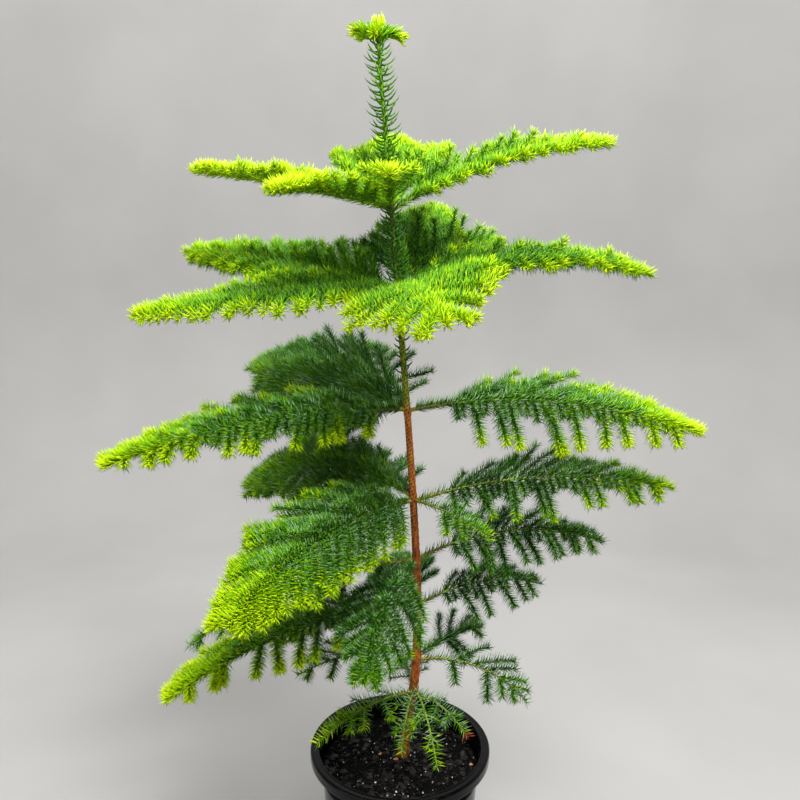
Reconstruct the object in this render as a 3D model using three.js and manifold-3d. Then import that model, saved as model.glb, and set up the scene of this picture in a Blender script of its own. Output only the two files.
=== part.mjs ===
// A young Norfolk Island pine in a black nursery pot.
// Millimetres, +Z up. The origin is the centre of the pot's flat underside. +X is the plant's right-hand
// side and -Y its front, the side that it has grown towards for the light.
// Every bough is a spine that leaves the trunk at a whorl and arches over. Twigs leave the spine left and
// right in one tilted plane, as on a fern, and each mass of needles keeps the space nearest its own spine.

import * as THREE from "three";
import { mergeVertices } from "three/addons/utils/BufferGeometryUtils.js";
import Module from "manifold-3d";

const wasm = await Module();
wasm.setup();

// Pot: a tapered plastic tub whose rim is a flat flange with a turned-down band
const POT_HEIGHT = 190;
const RIM_RADIUS = 100;
const RIM_INNER_RADIUS = 90;
const RIM_DEPTH = 11;
const RIM_ROUND = 2;
const RIM_STEP = 4;
const FLANGE_THICKNESS = 3;
const POT_SHOULDER_RADIUS = 88.4;
const POT_BASE_RADIUS = 75;
const POT_FOOT_CHAMFER = 3;
const POT_WALL = 2.4;
const POT_FLOOR = 3;
const POT_SIDES = 36;
const DRAIN_HOLES = 4;
const DRAIN_RADIUS = 7;
const DRAIN_CIRCLE_RADIUS = 48;
const DRAIN_SIDES = 10;

// Potting mix, up to a little under the rim
const SOIL_LEVEL = 168;
const SOIL_EDGE_DIP = 3;
const SOIL_EDGE_WIDTH = 12;
const GAP = 0.3;

// Trunk: the centre line leans right up to a knee and then left to the tip
const TRUNK_LINE = [
  new THREE.Vector3(3, 8, SOIL_LEVEL + GAP),
  new THREE.Vector3(18.5, 8, 295),
  new THREE.Vector3(13, 8, 490),
  new THREE.Vector3(-21, 8, 930),
];
const TRUNK_FOOT_RADIUS = 5.4;
const TRUNK_TIP_RADIUS = 1.9;
const ROOT_FLARE = 2.2;
const ROOT_FLARE_HEIGHT = 16;
const TRUNK_SIDES = 10;
const TRUNK_STEPS = 18;

// Whorls of boughs, from the lowest up. "toward" is the bough's compass angle in degrees, from +X (right)
// towards +Y (back). "rise" and "fall" are its slope at the trunk and at the tip. "twig" is its longest twig
// and "bare" the length at the trunk without twigs. "tilt" is how far the far side of its spray is lifted to
// face the light in front, and "hang" the share of their length that the twigs of the lowered side have. "sag"
// is how far the twigs of a whorl hang, and "vee" how far both rows of twigs turn up, as on young boughs.
const WHORLS = [
  {
    name: "w1",
    height: 250,
    sag: 0.5,
    vee: 0,
    limbs: false,
    boughs: {
      front_left: { toward: 216, length: 122, rise: 12, fall: -28, tilt: 20, twig: 26, bare: 16, hang: 1 },
      front: { toward: 258, length: 74, rise: 2, fall: -62, tilt: 5, twig: 20, bare: 14, hang: 1 },
      front_right: { toward: 284, length: 98, rise: 8, fall: -55, tilt: 10, twig: 20, bare: 16, hang: 1 },
      right: { toward: 322, length: 74, rise: 8, fall: -50, tilt: 20, twig: 18, bare: 16, hang: 1 },
      back: { toward: 98, length: 92, rise: 8, fall: -25, tilt: 5, twig: 34, bare: 16, hang: 1 },
    },
  },
  {
    name: "w2",
    height: 290,
    sag: 0.6,
    vee: 0,
    limbs: true,
    boughs: {
      right: { toward: -6, length: 132, rise: 10, fall: -52, tilt: 30, twig: 50, bare: 30, hang: 0.7 },
      back_right: { toward: 44, length: 108, rise: 12, fall: -14, tilt: 25, twig: 50, bare: 22, hang: 0.7 },
      left: { toward: 174, length: 138, rise: 4, fall: -34, tilt: 30, twig: 48, bare: 26, hang: 0.6 },
    },
  },
  {
    name: "w3",
    height: 353,
    sag: 0.7,
    vee: 0,
    limbs: true,
    boughs: {
      right: { toward: 20, length: 154, rise: 22, fall: -22, tilt: 35, twig: 60, bare: 24, hang: 0.75 },
      left: { toward: 195, length: 278, rise: 2, fall: -34, tilt: 30, twig: 62, bare: 44, hang: 0.65 },
      back: { toward: 100, length: 150, rise: 10, fall: -15, tilt: 5, twig: 56, bare: 22, hang: 1 },
    },
  },
  {
    name: "w4",
    height: 404,
    sag: 0.8,
    vee: 0,
    limbs: true,
    boughs: {
      right: { toward: 12, length: 222, rise: 24, fall: -24, tilt: 38, twig: 64, bare: 34, hang: 0.75 },
      back_left: { toward: 178, length: 276, rise: -8, fall: -38, tilt: 26, twig: 40, bare: 30, hang: 0.8 },
      front_left: { toward: 245, length: 150, rise: -5, fall: -62, tilt: 12, twig: 58, bare: 24, hang: 1 },
    },
  },
  {
    name: "w5",
    height: 472,
    sag: 0.8,
    vee: 0,
    limbs: true,
    boughs: {
      right: { toward: 2, length: 282, rise: 18, fall: -14, tilt: 42, twig: 68, bare: 34, hang: 0.75 },
      front_left: { toward: 223, length: 240, rise: 5, fall: -40, tilt: 24, twig: 88, bare: 28, hang: 0.8 },
      back_left: { toward: 154, length: 226, rise: 26, fall: -36, tilt: 30, twig: 80, bare: 30, hang: 0.8 },
      front_right: { toward: 318, length: 100, rise: 0, fall: -24, tilt: 10, twig: 28, bare: 20, hang: 1 },
      back: { toward: 112, length: 164, rise: 14, fall: -8, tilt: 5, twig: 60, bare: 24, hang: 1 },
    },
  },
  {
    name: "w6",
    height: 566,
    sag: 0.9,
    vee: 0,
    limbs: true,
    boughs: {
      right: { toward: -4, length: 302, rise: 12, fall: -20, tilt: 40, twig: 72, bare: 42, hang: 0.85 },
      front_left: { toward: 195, length: 304, rise: 4, fall: -20, tilt: 28, twig: 70, bare: 30, hang: 0.6 },
      back_left: { toward: 142, length: 240, rise: 20, fall: -10, tilt: 50, twig: 98, bare: 26, hang: 0.8 },
      back: { toward: 106, length: 176, rise: 30, fall: 8, tilt: 5, twig: 62, bare: 26, hang: 1 },
    },
  },
  {
    name: "w7",
    height: 692,
    sag: 0.45,
    vee: 12,
    limbs: false,
    boughs: {
      right: { toward: 4, length: 268, rise: 24, fall: -18, tilt: 24, twig: 46, bare: 26, hang: 0.7 },
      back_right: { toward: 48, length: 180, rise: 30, fall: 6, tilt: 22, twig: 54, bare: 22, hang: 1 },
      back: { toward: 74, length: 190, rise: 36, fall: 24, tilt: 8, twig: 58, bare: 22, hang: 1 },
      back_left: { toward: 160, length: 257, rise: 16, fall: 3, tilt: 26, twig: 52, bare: 24, hang: 1 },
      front_left: { toward: 196, length: 256, rise: -2, fall: -10, tilt: 20, twig: 48, bare: 24, hang: 0.8 },
      front: { toward: 285, length: 160, rise: 8, fall: -26, tilt: 14, twig: 88, bare: 22, hang: 1 },
    },
  },
  {
    name: "w8",
    height: 777,
    sag: 0.25,
    vee: 28,
    limbs: false,
    boughs: {
      right: { toward: 0, length: 228, rise: 32, fall: 0, tilt: 8, twig: 44, bare: 18, hang: 1 },
      back_right: { toward: 62, length: 145, rise: 40, fall: 16, tilt: 4, twig: 44, bare: 18, hang: 1 },
      back: { toward: 90, length: 134, rise: 48, fall: 30, tilt: 0, twig: 42, bare: 18, hang: 1 },
      back_left: { toward: 118, length: 140, rise: 40, fall: 14, tilt: 4, twig: 44, bare: 18, hang: 1 },
      left: { toward: 179, length: 200, rise: 15, fall: 6, tilt: 8, twig: 42, bare: 18, hang: 1 },
      front_left: { toward: 228, length: 152, rise: 8, fall: -7, tilt: 4, twig: 42, bare: 18, hang: 1 },
      front: { toward: 270, length: 118, rise: 16, fall: -2, tilt: 0, twig: 40, bare: 18, hang: 1 },
    },
  },
];
const FIRST_YOUNG_WHORL = 6;
const WHORL_SCATTER = 4;
const LIFTED_SAG_SHARE = 0.2;
const LOWERED_SIDE = -0.15;

// Spines: the woody line of a bough, thickest at the trunk
const SPINE_ROOT_RADIUS = 1.2;
const SPINE_RADIUS_PER_LENGTH = 0.0016;
const SPINE_TIP_SHARE = 0.42;
const SPINE_SAMPLES = 32;
const SPINE_SIDES = 3;
const SPINE_STEP_LENGTH = 42;
const TRUNK_LEAN_ALLOWANCE = 0.1;
const LIMB_SIDES = 6;
const LIMB_STEPS = 2;

// Twigs: stations stand close together along the spine, left and right in turn, and every third one counts
const STATION_PITCH = 8;
const STATION_STRIDE = 3;
const FIRST_STATION = 4;
const TWIG_SAMPLES = 6;
const TWIG_LONGEST_AT = 0.3;
const TWIG_SHARE_AT_ROOT = 0.72;
const TWIG_SHARE_AT_TIP = 0.34;
const TWIG_LENGTH_SCATTER = 0.16;
const FORK_AT_ROOT = 64;
const FORK_AT_TIP = 38;
const FORK_SCATTER = 12;
const FORK_LIFT = 18;
const FULL_LIFT = 0.5;
const SHORTEST_TWIG = 13;
const SPINE_CLEARANCE = 4;
const TWIG_CLEARANCE = 2;
const END_TWIG = 30;
const GROWTH_SEED = 20417;

// Needles: a twig's needles are the teeth of a thin blade
const NEEDLE_REACH = 9.5;
const TOOTH_LENGTH = 24;
const MOST_TEETH = 2;
const TOOTH_PEAK = 0.86;
const BLADE_END = 0.35;
const BLADE_CORE = 2;
const BLADE_SINK = 1.2;
const BLADE_THICKNESS = 1.2;

// Needles on the green upper trunk, and the bud of new shoots at its tip
const STEM_NEEDLE = 14;
const STEM_NEEDLE_RADIUS = 0.75;
const STEM_NEEDLE_SIDES = 3;
const STEM_NEEDLE_SLOPE = 42;
const STEM_NEEDLE_PITCH = 4.8;
const GOLDEN_ANGLE = 137.5;
const RIND = 1;
const RIND_SIDES = 8;
const RIND_STEPS = 3;
const LEADER_FOOT = 800;
const LEADER_TOP = 912;
const UPPER_STEM_FOOT = 714;
const UPPER_STEM_TOP = 758;
const BUD_HEIGHT = 12;
const BUD_ROOT_RADIUS = 2;
const BUD_TIP_RADIUS = 0.8;
const BUD_SIDES = 6;
const BUD_SHOOTS = 5;
const BUD_SHOOT_LENGTH = 27;
const BUD_TURN = 20;
const BUD_RISE = 34;
const BUD_SAG = 1.2;
const BUD_NEEDLES = 4;
const BUD_NEEDLE_LENGTH = 22;
const BUD_NEEDLE_SLOPE = 70;

const UP = new THREE.Vector3(0, 0, 1);
const RIGHT = new THREE.Vector3(1, 0, 0);
const STEEP = 0.9;
const SAME_PLACE = 1e-4;
const DIRECTION_STEP = 0.01;
const HEIGHT_HALVINGS = 24;
const FULL_TURN = 360;
const radians = THREE.MathUtils.degToRad;
const { lerp, clamp } = THREE.MathUtils;

const finish = (color, roughness) => new THREE.MeshStandardMaterial({ color, roughness, metalness: 0 });
const POT_PLASTIC = finish(0x1b1c1e, 0.45);
const POTTING_MIX = finish(0x15110e, 0.95);
const BARK = finish(0x8a4a24, 0.85);
const OLD_NEEDLES = finish(0x2c6b24, 0.6);
const YOUNG_NEEDLES = finish(0x62b51e, 0.55);

// A number from 0 to 1 that depends only on the seed and on the whole numbers given.
function chance(...keys) {
  let hash = GROWTH_SEED;
  for (const key of keys) {
    hash = Math.imul(hash ^ (key + 1), 0x9e3779b1);
    hash ^= hash >>> 15;
  }
  hash = Math.imul(hash ^ (hash >>> 13), 0x85ebca6b);
  hash ^= hash >>> 16;
  return (hash >>> 0) / 2 ** 32;
}

// A number from -1 to 1 by the same rule.
function scatter(...keys) {
  return 2 * chance(...keys) - 1;
}

// A closed three.js geometry as a solid that can be joined and cut.
function solidOf(geometry) {
  const bare = geometry.clone();
  bare.deleteAttribute("normal");
  bare.deleteAttribute("uv");
  const merged = mergeVertices(bare, SAME_PLACE);
  const vertProperties = new Float32Array(merged.attributes.position.array);
  const triVerts = new Uint32Array(merged.index.array);
  return new wasm.Manifold(new wasm.Mesh({ numProp: 3, vertProperties, triVerts }));
}

function joined(solids) {
  return solids.reduce((whole, piece) => whole.add(piece));
}

// The largest body of a solid as a three.js geometry: a loose scrap is dropped.
function geometryOf(solid) {
  const [body] = solid.decompose().sort((a, b) => b.volume() - a.volume());
  const mesh = body.getMesh();
  const geometry = new THREE.BufferGeometry();
  geometry.setAttribute("position", new THREE.BufferAttribute(new Float32Array(mesh.vertProperties), 3));
  geometry.setIndex(new THREE.BufferAttribute(new Uint32Array(mesh.triVerts), 1));
  return geometry;
}

function directionOf(path, t) {
  const before = path(Math.max(0, t - DIRECTION_STEP));
  return path(Math.min(1, t + DIRECTION_STEP)).sub(before).normalize();
}

// A cylinder bent along a path: path(t) and radius(t) for t from 0 to 1. Its rings face along the path, or
// along the direction given.
function bentCylinder(path, radius, sides, steps, facing = null) {
  const geometry = new THREE.CylinderGeometry(1, 1, 1, sides, steps);
  const place = geometry.attributes.position;
  const local = new THREE.Vector3();
  for (let i = 0; i < place.count; i++) {
    local.fromBufferAttribute(place, i);
    const t = local.y + 0.5;
    const along = facing ?? directionOf(path, t);
    const reference = Math.abs(along.z) > STEEP ? RIGHT : UP;
    const across = new THREE.Vector3().crossVectors(along, reference).normalize();
    const over = new THREE.Vector3().crossVectors(across, along);
    const point = path(t);
    point.addScaledVector(across, local.x * radius(t));
    point.addScaledVector(over, local.z * radius(t));
    place.setXYZ(i, point.x, point.y, point.z);
  }
  return geometry;
}

// The trunk's centre line and thickness, by height.
const trunkCurve = new THREE.CatmullRomCurve3(TRUNK_LINE, false, "catmullrom", 0.5);
const trunkFoot = TRUNK_LINE[0].z;
const trunkTip = TRUNK_LINE[TRUNK_LINE.length - 1].z;

function trunkCentre(height) {
  let low = 0;
  let high = 1;
  for (let halving = 0; halving < HEIGHT_HALVINGS; halving++) {
    const middle = (low + high) / 2;
    if (trunkCurve.getPoint(middle).z < height) low = middle;
    else high = middle;
  }
  return trunkCurve.getPoint(high);
}

function trunkRadius(height) {
  const taper = lerp(TRUNK_FOOT_RADIUS, TRUNK_TIP_RADIUS, (height - trunkFoot) / (trunkTip - trunkFoot));
  return taper + ROOT_FLARE * Math.exp(-(height - trunkFoot) / ROOT_FLARE_HEIGHT);
}

// The spine of a bough: its slope goes from rise to fall, so it arches in one upright plane.
function growSpine(whorl, name, size, number) {
  const height = whorl.height + WHORL_SCATTER * scatter(number, 0);
  const heading = new THREE.Vector3(Math.cos(radians(size.toward)), Math.sin(radians(size.toward)), 0);
  const rootRadius = SPINE_ROOT_RADIUS + SPINE_RADIUS_PER_LENGTH * size.length;
  const tiltedRoot = rootRadius * (Math.sin(Math.abs(radians(size.rise))) + TRUNK_LEAN_ALLOWANCE);
  const points = [trunkCentre(height).addScaledVector(heading, trunkRadius(height) + GAP + tiltedRoot)];
  for (let i = 0; i < SPINE_SAMPLES; i++) {
    const slope = radians(lerp(size.rise, size.fall, (i + 0.5) / SPINE_SAMPLES));
    const step = heading.clone().multiplyScalar(Math.cos(slope)).addScaledVector(UP, Math.sin(slope));
    points.push(points[i].clone().addScaledVector(step, size.length / SPINE_SAMPLES));
  }
  return { ...size, name: `${whorl.name}_${name}`, number, whorl, heading, rootRadius, points };
}

function spinePoint(bough, s) {
  const place = (s / bough.length) * SPINE_SAMPLES;
  const i = clamp(Math.floor(place), 0, SPINE_SAMPLES - 1);
  return bough.points[i].clone().lerp(bough.points[i + 1], place - i);
}

function spineRadius(bough, s) {
  return bough.rootRadius * lerp(1, SPINE_TIP_SHARE, s / bough.length);
}

// A stretch of the spine as a tapering stem.
function spineStem(bough, start, end, sides, steps) {
  const at = (t) => lerp(start, end, t);
  const path = (t) => spinePoint(bough, at(t));
  const radius = (t) => spineRadius(bough, at(t));
  return bentCylinder(path, radius, sides, steps);
}

// The bough's own directions at a point: along the spine, and out to its left (hand 1) or right (hand -1).
// The tilt lifts the far side of the spray and lowers the near one to face the light, and the vee lifts both.
function sprayFrame(bough, s) {
  const along = spinePoint(bough, s + 1).sub(spinePoint(bough, s - 1)).normalize();
  const level = new THREE.Vector3().crossVectors(UP, bough.heading);
  const over = new THREE.Vector3().crossVectors(along, level);
  const sideOf = (hand) => {
    const lean = radians(bough.whorl.vee + hand * bough.tilt * Math.sign(level.y));
    return level.clone().multiplyScalar(hand * Math.cos(lean)).addScaledVector(over, Math.sin(lean));
  };
  return { along, sideOf };
}

// A twig's line from the spine outwards: it forks off in the spray's plane and hangs by its own weight.
function twigLine(root, direction, length, sag) {
  const points = [root.clone()];
  for (let i = 0; i < TWIG_SAMPLES; i++) {
    const bend = (sag * (i + 0.5)) / TWIG_SAMPLES;
    const step = direction.clone().addScaledVector(UP, -bend).normalize();
    points.push(points[i].clone().addScaledVector(step, length / TWIG_SAMPLES));
  }
  return points;
}

function distanceToLine(point, line) {
  return Math.min(...line.map((other) => other.distanceTo(point)));
}

// Whether a point of a twig lies in its own bough's space: clear by the needles' reach of every other spine,
// of the points that other boughs' twigs have taken, of the trunk and its needles, and of the pot.
function inOwnSpace(point, bough, boughs, taken) {
  const nearSpine = (other) => distanceToLine(point, other.points) < NEEDLE_REACH + SPINE_CLEARANCE;
  if (boughs.some((other) => other !== bough && nearSpine(other))) return false;
  const nearTwig = (other) => other.point.distanceTo(point) < 2 * NEEDLE_REACH + TWIG_CLEARANCE;
  if (taken.some((other) => other.bough !== bough && nearTwig(other))) return false;
  const height = clamp(point.z, trunkFoot, trunkTip);
  const needled = height > UPPER_STEM_FOOT - NEEDLE_REACH ? STEM_NEEDLE : 0;
  const trunkRoom = trunkRadius(height) + needled + NEEDLE_REACH + 1;
  if (trunkCentre(height).distanceTo(point) < trunkRoom) return false;
  const overSoil = Math.hypot(point.x, point.y) < RIM_INNER_RADIUS - 2 * NEEDLE_REACH;
  return point.z > (overSoil ? SOIL_LEVEL : POT_HEIGHT) + NEEDLE_REACH + 1;
}

// The share of the longest twig that a twig has, by its place along the spine.
function twigShare(u) {
  if (u < TWIG_LONGEST_AT) return lerp(TWIG_SHARE_AT_ROOT, 1, u / TWIG_LONGEST_AT);
  return lerp(1, TWIG_SHARE_AT_TIP, (u - TWIG_LONGEST_AT) / (1 - TWIG_LONGEST_AT));
}

// The twigs of one bough, cut short where they would leave its space, and the one that ends its spine.
function growTwigs(bough, boughs, taken) {
  const start = bough.bare + FIRST_STATION;
  const leafy = bough.length - END_TWIG / 2 - start;
  const twigs = [];
  for (let k = 0; k * STATION_PITCH < leafy; k += STATION_STRIDE) {
    const u = (k * STATION_PITCH) / leafy;
    const s = start + k * STATION_PITCH;
    const { along, sideOf } = sprayFrame(bough, s);
    const side = sideOf(k % 2 ? 1 : -1);
    const forward = FORK_LIFT * clamp(side.z / FULL_LIFT, -1, 1) - FORK_SCATTER * scatter(bough.number, k, 1);
    const fork = radians(lerp(FORK_AT_ROOT, FORK_AT_TIP, u) - forward);
    const direction = along.clone().multiplyScalar(Math.cos(fork)).addScaledVector(side, Math.sin(fork));
    const longest = bough.twig * (side.z < LOWERED_SIDE ? bough.hang : 1);
    const length = longest * twigShare(u) * (1 + TWIG_LENGTH_SCATTER * scatter(bough.number, k, 2));
    const lifted = side.z > 0 ? LIFTED_SAG_SHARE : 1;
    const line = twigLine(spinePoint(bough, s), direction, length, bough.whorl.sag * lifted);
    const outside = line.findIndex((point, i) => i > 0 && !inOwnSpace(point, bough, boughs, taken));
    const kept = outside < 0 ? line : line.slice(0, outside);
    const keptLength = (length * (kept.length - 1)) / TWIG_SAMPLES;
    if (keptLength < SHORTEST_TWIG) continue;
    twigs.push({ line: kept, length: keptLength, flat: along });
    taken.push(...kept.map((point) => ({ point, bough })));
  }
  const { along, sideOf } = sprayFrame(bough, bough.length - END_TWIG);
  const fall = along.z - sprayFrame(bough, bough.length - 1).along.z;
  const endLine = twigLine(spinePoint(bough, bough.length - END_TWIG), along, END_TWIG, fall);
  twigs.push({ line: endLine, length: END_TWIG, flat: sideOf(1) });
  return twigs;
}

// The outline of a twig's needles, x along the twig and y across it: a saw on both edges, from a pointed root
// past the spine's middle to a pointed tip.
function needleOutline(length) {
  const teeth = clamp(Math.round(length / TOOTH_LENGTH), 1, MOST_TEETH);
  const pitch = length / (teeth + BLADE_END);
  const edge = [];
  for (let i = 0; i < teeth; i++) {
    if (i > 0) edge.push(new THREE.Vector2(i * pitch, BLADE_CORE));
    edge.push(new THREE.Vector2((i + TOOTH_PEAK) * pitch, NEEDLE_REACH));
  }
  const root = new THREE.Vector2(-BLADE_SINK, 0);
  const tip = new THREE.Vector2(length, 0);
  const otherEdge = edge.map((point) => new THREE.Vector2(point.x, -point.y)).reverse();
  return new THREE.Shape([root, ...edge, tip, ...otherEdge]);
}

// A twig with its needles: the flat outline bent along the twig's line.
function needleBlade(twig) {
  const geometry = new THREE.ExtrudeGeometry(needleOutline(twig.length), {
    depth: BLADE_THICKNESS,
    bevelEnabled: false,
  });
  geometry.translate(0, 0, -BLADE_THICKNESS / 2);
  const place = geometry.attributes.position;
  const local = new THREE.Vector3();
  const last = twig.line.length - 2;
  for (let i = 0; i < place.count; i++) {
    local.fromBufferAttribute(place, i);
    const t = (local.x / twig.length) * (last + 1);
    const j = clamp(Math.floor(t), 0, last);
    const along = twig.line[j + 1].clone().sub(twig.line[j]).normalize();
    const across = twig.flat.clone().addScaledVector(along, -twig.flat.dot(along)).normalize();
    const over = new THREE.Vector3().crossVectors(along, across);
    const point = twig.line[j].clone().lerp(twig.line[j + 1], t - j);
    point.addScaledVector(across, local.y).addScaledVector(over, local.z);
    place.setXYZ(i, point.x, point.y, point.z);
  }
  return geometry;
}

// A mass of foliage: the leafy part of the spine with its twigs fused on.
function foliageSolid(bough, boughs, taken) {
  const start = bough.whorl.limbs ? bough.bare + GAP / 2 : 0;
  const end = bough.length - END_TWIG / 2;
  const steps = Math.ceil((end - start) / SPINE_STEP_LENGTH);
  const stem = solidOf(spineStem(bough, start, end, SPINE_SIDES, steps));
  const blades = growTwigs(bough, boughs, taken).map((twig) => solidOf(needleBlade(twig)));
  return joined([stem, ...blades]);
}

// One straight needle as a slim three-sided spike, from a root point outwards.
function needleSpike(root, direction, length) {
  const spike = new THREE.ConeGeometry(STEM_NEEDLE_RADIUS, length, STEM_NEEDLE_SIDES);
  spike.translate(0, length / 2, 0);
  spike.applyQuaternion(new THREE.Quaternion().setFromUnitVectors(new THREE.Vector3(0, 1, 0), direction));
  spike.translate(root.x, root.y, root.z);
  return solidOf(spike);
}

// A direction from a turn about the trunk and a slope, both in degrees.
function outward(turn, slope) {
  const level = Math.cos(radians(slope));
  const angle = radians(turn);
  return new THREE.Vector3(level * Math.cos(angle), level * Math.sin(angle), Math.sin(radians(slope)));
}

// A rind round a stretch of the trunk, with needles on a golden-angle spiral.
function stemNeedles(foot, top) {
  const roomForCorners = 1 / Math.cos(Math.PI / RIND_SIDES);
  const innerRadius = (height) => (trunkRadius(height) + GAP) * roomForCorners;
  const sleeve = (low, high, thickness) => {
    const at = (t) => lerp(low, high, t);
    const radius = (t) => innerRadius(at(t)) + thickness;
    return solidOf(bentCylinder((t) => trunkCentre(at(t)), radius, RIND_SIDES, RIND_STEPS, UP));
  };
  const rind = sleeve(foot, top, RIND);
  const bore = sleeve(foot - 1, top + 1, 0);
  const needles = [];
  for (let i = 0; foot + (i + 1) * STEM_NEEDLE_PITCH < top; i++) {
    const height = foot + (i + 0.5) * STEM_NEEDLE_PITCH;
    const direction = outward(i * GOLDEN_ANGLE, STEM_NEEDLE_SLOPE);
    const root = trunkCentre(height).addScaledVector(direction, trunkRadius(height));
    needles.push(needleSpike(root, direction, STEM_NEEDLE));
  }
  return joined([rind, ...needles]).subtract(bore);
}

// The bud at the trunk's tip, with a ring of short shoots and a few upright needles.
function leaderTuft() {
  const foot = trunkCentre(trunkTip).addScaledVector(UP, GAP);
  const path = (t) => foot.clone().addScaledVector(UP, t * BUD_HEIGHT);
  const radius = (t) => lerp(BUD_ROOT_RADIUS, BUD_TIP_RADIUS, t);
  const pieces = [solidOf(bentCylinder(path, radius, BUD_SIDES, 1))];
  for (let i = 0; i < BUD_SHOOTS; i++) {
    const turn = BUD_TURN + (FULL_TURN * i) / BUD_SHOOTS;
    const direction = outward(turn, BUD_RISE);
    const line = twigLine(path(0.5), direction, BUD_SHOOT_LENGTH, BUD_SAG);
    pieces.push(solidOf(needleBlade({ line, length: BUD_SHOOT_LENGTH, flat: outward(turn + 90, 0) })));
  }
  for (let i = 0; i < BUD_NEEDLES; i++) {
    const direction = outward(i * GOLDEN_ANGLE, BUD_NEEDLE_SLOPE);
    pieces.push(needleSpike(path(0.6), direction, BUD_NEEDLE_LENGTH));
  }
  return joined(pieces);
}

// The radius of the pot's inside by height, under the rim's step.
function potInnerRadius(height) {
  const shoulder = POT_HEIGHT - RIM_DEPTH - RIM_STEP;
  const t = (height - POT_FLOOR) / (shoulder - POT_FLOOR);
  return lerp(POT_BASE_RADIUS, POT_SHOULDER_RADIUS, t) - POT_WALL;
}

// A solid of revolution about Z from [radius, height] corners, up the outside first.
function turned(corners) {
  const profile = corners.map(([radius, height]) => new THREE.Vector2(radius, height));
  return new THREE.LatheGeometry(profile, POT_SIDES).rotateX(Math.PI / 2);
}

function potSolid() {
  const shoulder = POT_HEIGHT - RIM_DEPTH - RIM_STEP;
  const flangeUnderside = POT_HEIGHT - FLANGE_THICKNESS;
  const bandFoot = POT_HEIGHT - RIM_DEPTH;
  const tub = solidOf(
    turned([
      [0, 0],
      [POT_BASE_RADIUS - POT_FOOT_CHAMFER, 0],
      [POT_BASE_RADIUS, POT_FOOT_CHAMFER],
      [POT_SHOULDER_RADIUS, shoulder],
      [RIM_INNER_RADIUS + POT_WALL, flangeUnderside],
      [RIM_RADIUS - POT_WALL, flangeUnderside],
      [RIM_RADIUS - POT_WALL, bandFoot],
      [RIM_RADIUS, bandFoot],
      [RIM_RADIUS, POT_HEIGHT - RIM_ROUND],
      [RIM_RADIUS - RIM_ROUND, POT_HEIGHT],
      [RIM_INNER_RADIUS, POT_HEIGHT],
      [potInnerRadius(shoulder), shoulder],
      [potInnerRadius(POT_FLOOR), POT_FLOOR],
      [0, POT_FLOOR],
    ]),
  );
  const holes = [];
  for (let i = 0; i < DRAIN_HOLES; i++) {
    const hole = new THREE.CylinderGeometry(DRAIN_RADIUS, DRAIN_RADIUS, 3 * POT_FLOOR, DRAIN_SIDES);
    hole.rotateX(Math.PI / 2);
    const place = outward((FULL_TURN * (i + 0.5)) / DRAIN_HOLES, 0).multiplyScalar(DRAIN_CIRCLE_RADIUS);
    hole.translate(place.x, place.y, 0);
    holes.push(solidOf(hole));
  }
  return holes.reduce((pot, hole) => pot.subtract(hole), tub);
}

function soilGeometry() {
  const foot = POT_FLOOR + GAP;
  const edge = SOIL_LEVEL - SOIL_EDGE_DIP;
  return turned([
    [0, foot],
    [potInnerRadius(foot) - GAP, foot],
    [potInnerRadius(edge) - GAP, edge],
    [potInnerRadius(edge) - SOIL_EDGE_WIDTH, SOIL_LEVEL],
    [0, SOIL_LEVEL],
  ]);
}

// The trunk, with level rings, so that it is cut flat at the ground.
function trunkGeometry() {
  const at = (t) => lerp(trunkFoot, trunkTip, t);
  return bentCylinder((t) => trunkCentre(at(t)), (t) => trunkRadius(at(t)), TRUNK_SIDES, TRUNK_STEPS, UP);
}

const plant = new THREE.Group();

function addPiece(name, geometry, material) {
  const piece = new THREE.Mesh(geometry, material);
  piece.name = name;
  plant.add(piece);
}

const boughs = [];
for (const whorl of WHORLS) {
  for (const [name, size] of Object.entries(whorl.boughs)) {
    boughs.push(growSpine(whorl, name, size, boughs.length));
  }
}

const taken = [];

addPiece("pot", geometryOf(potSolid()), POT_PLASTIC);
addPiece("soil", soilGeometry(), POTTING_MIX);
addPiece("trunk", trunkGeometry(), BARK);
addPiece("leader_needles", geometryOf(stemNeedles(LEADER_FOOT, LEADER_TOP)), YOUNG_NEEDLES);
addPiece("upper_stem_needles", geometryOf(stemNeedles(UPPER_STEM_FOOT, UPPER_STEM_TOP)), OLD_NEEDLES);
addPiece("leader_tuft", geometryOf(leaderTuft()), YOUNG_NEEDLES);
for (const bough of boughs) {
  if (bough.whorl.limbs) {
    const limb = spineStem(bough, 0, bough.bare - GAP / 2, LIMB_SIDES, LIMB_STEPS);
    addPiece(`bough_${bough.name}`, limb, BARK);
  }
  const young = WHORLS.indexOf(bough.whorl) >= FIRST_YOUNG_WHORL;
  const foliage = geometryOf(foliageSolid(bough, boughs, taken));
  addPiece(`foliage_${bough.name}`, foliage, young ? YOUNG_NEEDLES : OLD_NEEDLES);
}

export default plant;
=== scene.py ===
# %% [markdown]
# # A potted Norfolk Island pine
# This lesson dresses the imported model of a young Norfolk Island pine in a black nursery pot. The model
# gives the true size and the place of every bough; here each one gets its bark, its twigs and its needles.
# Everything grows by rule from a short table, so the tree comes out the same on every run.

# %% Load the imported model
from collections import namedtuple

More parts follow.
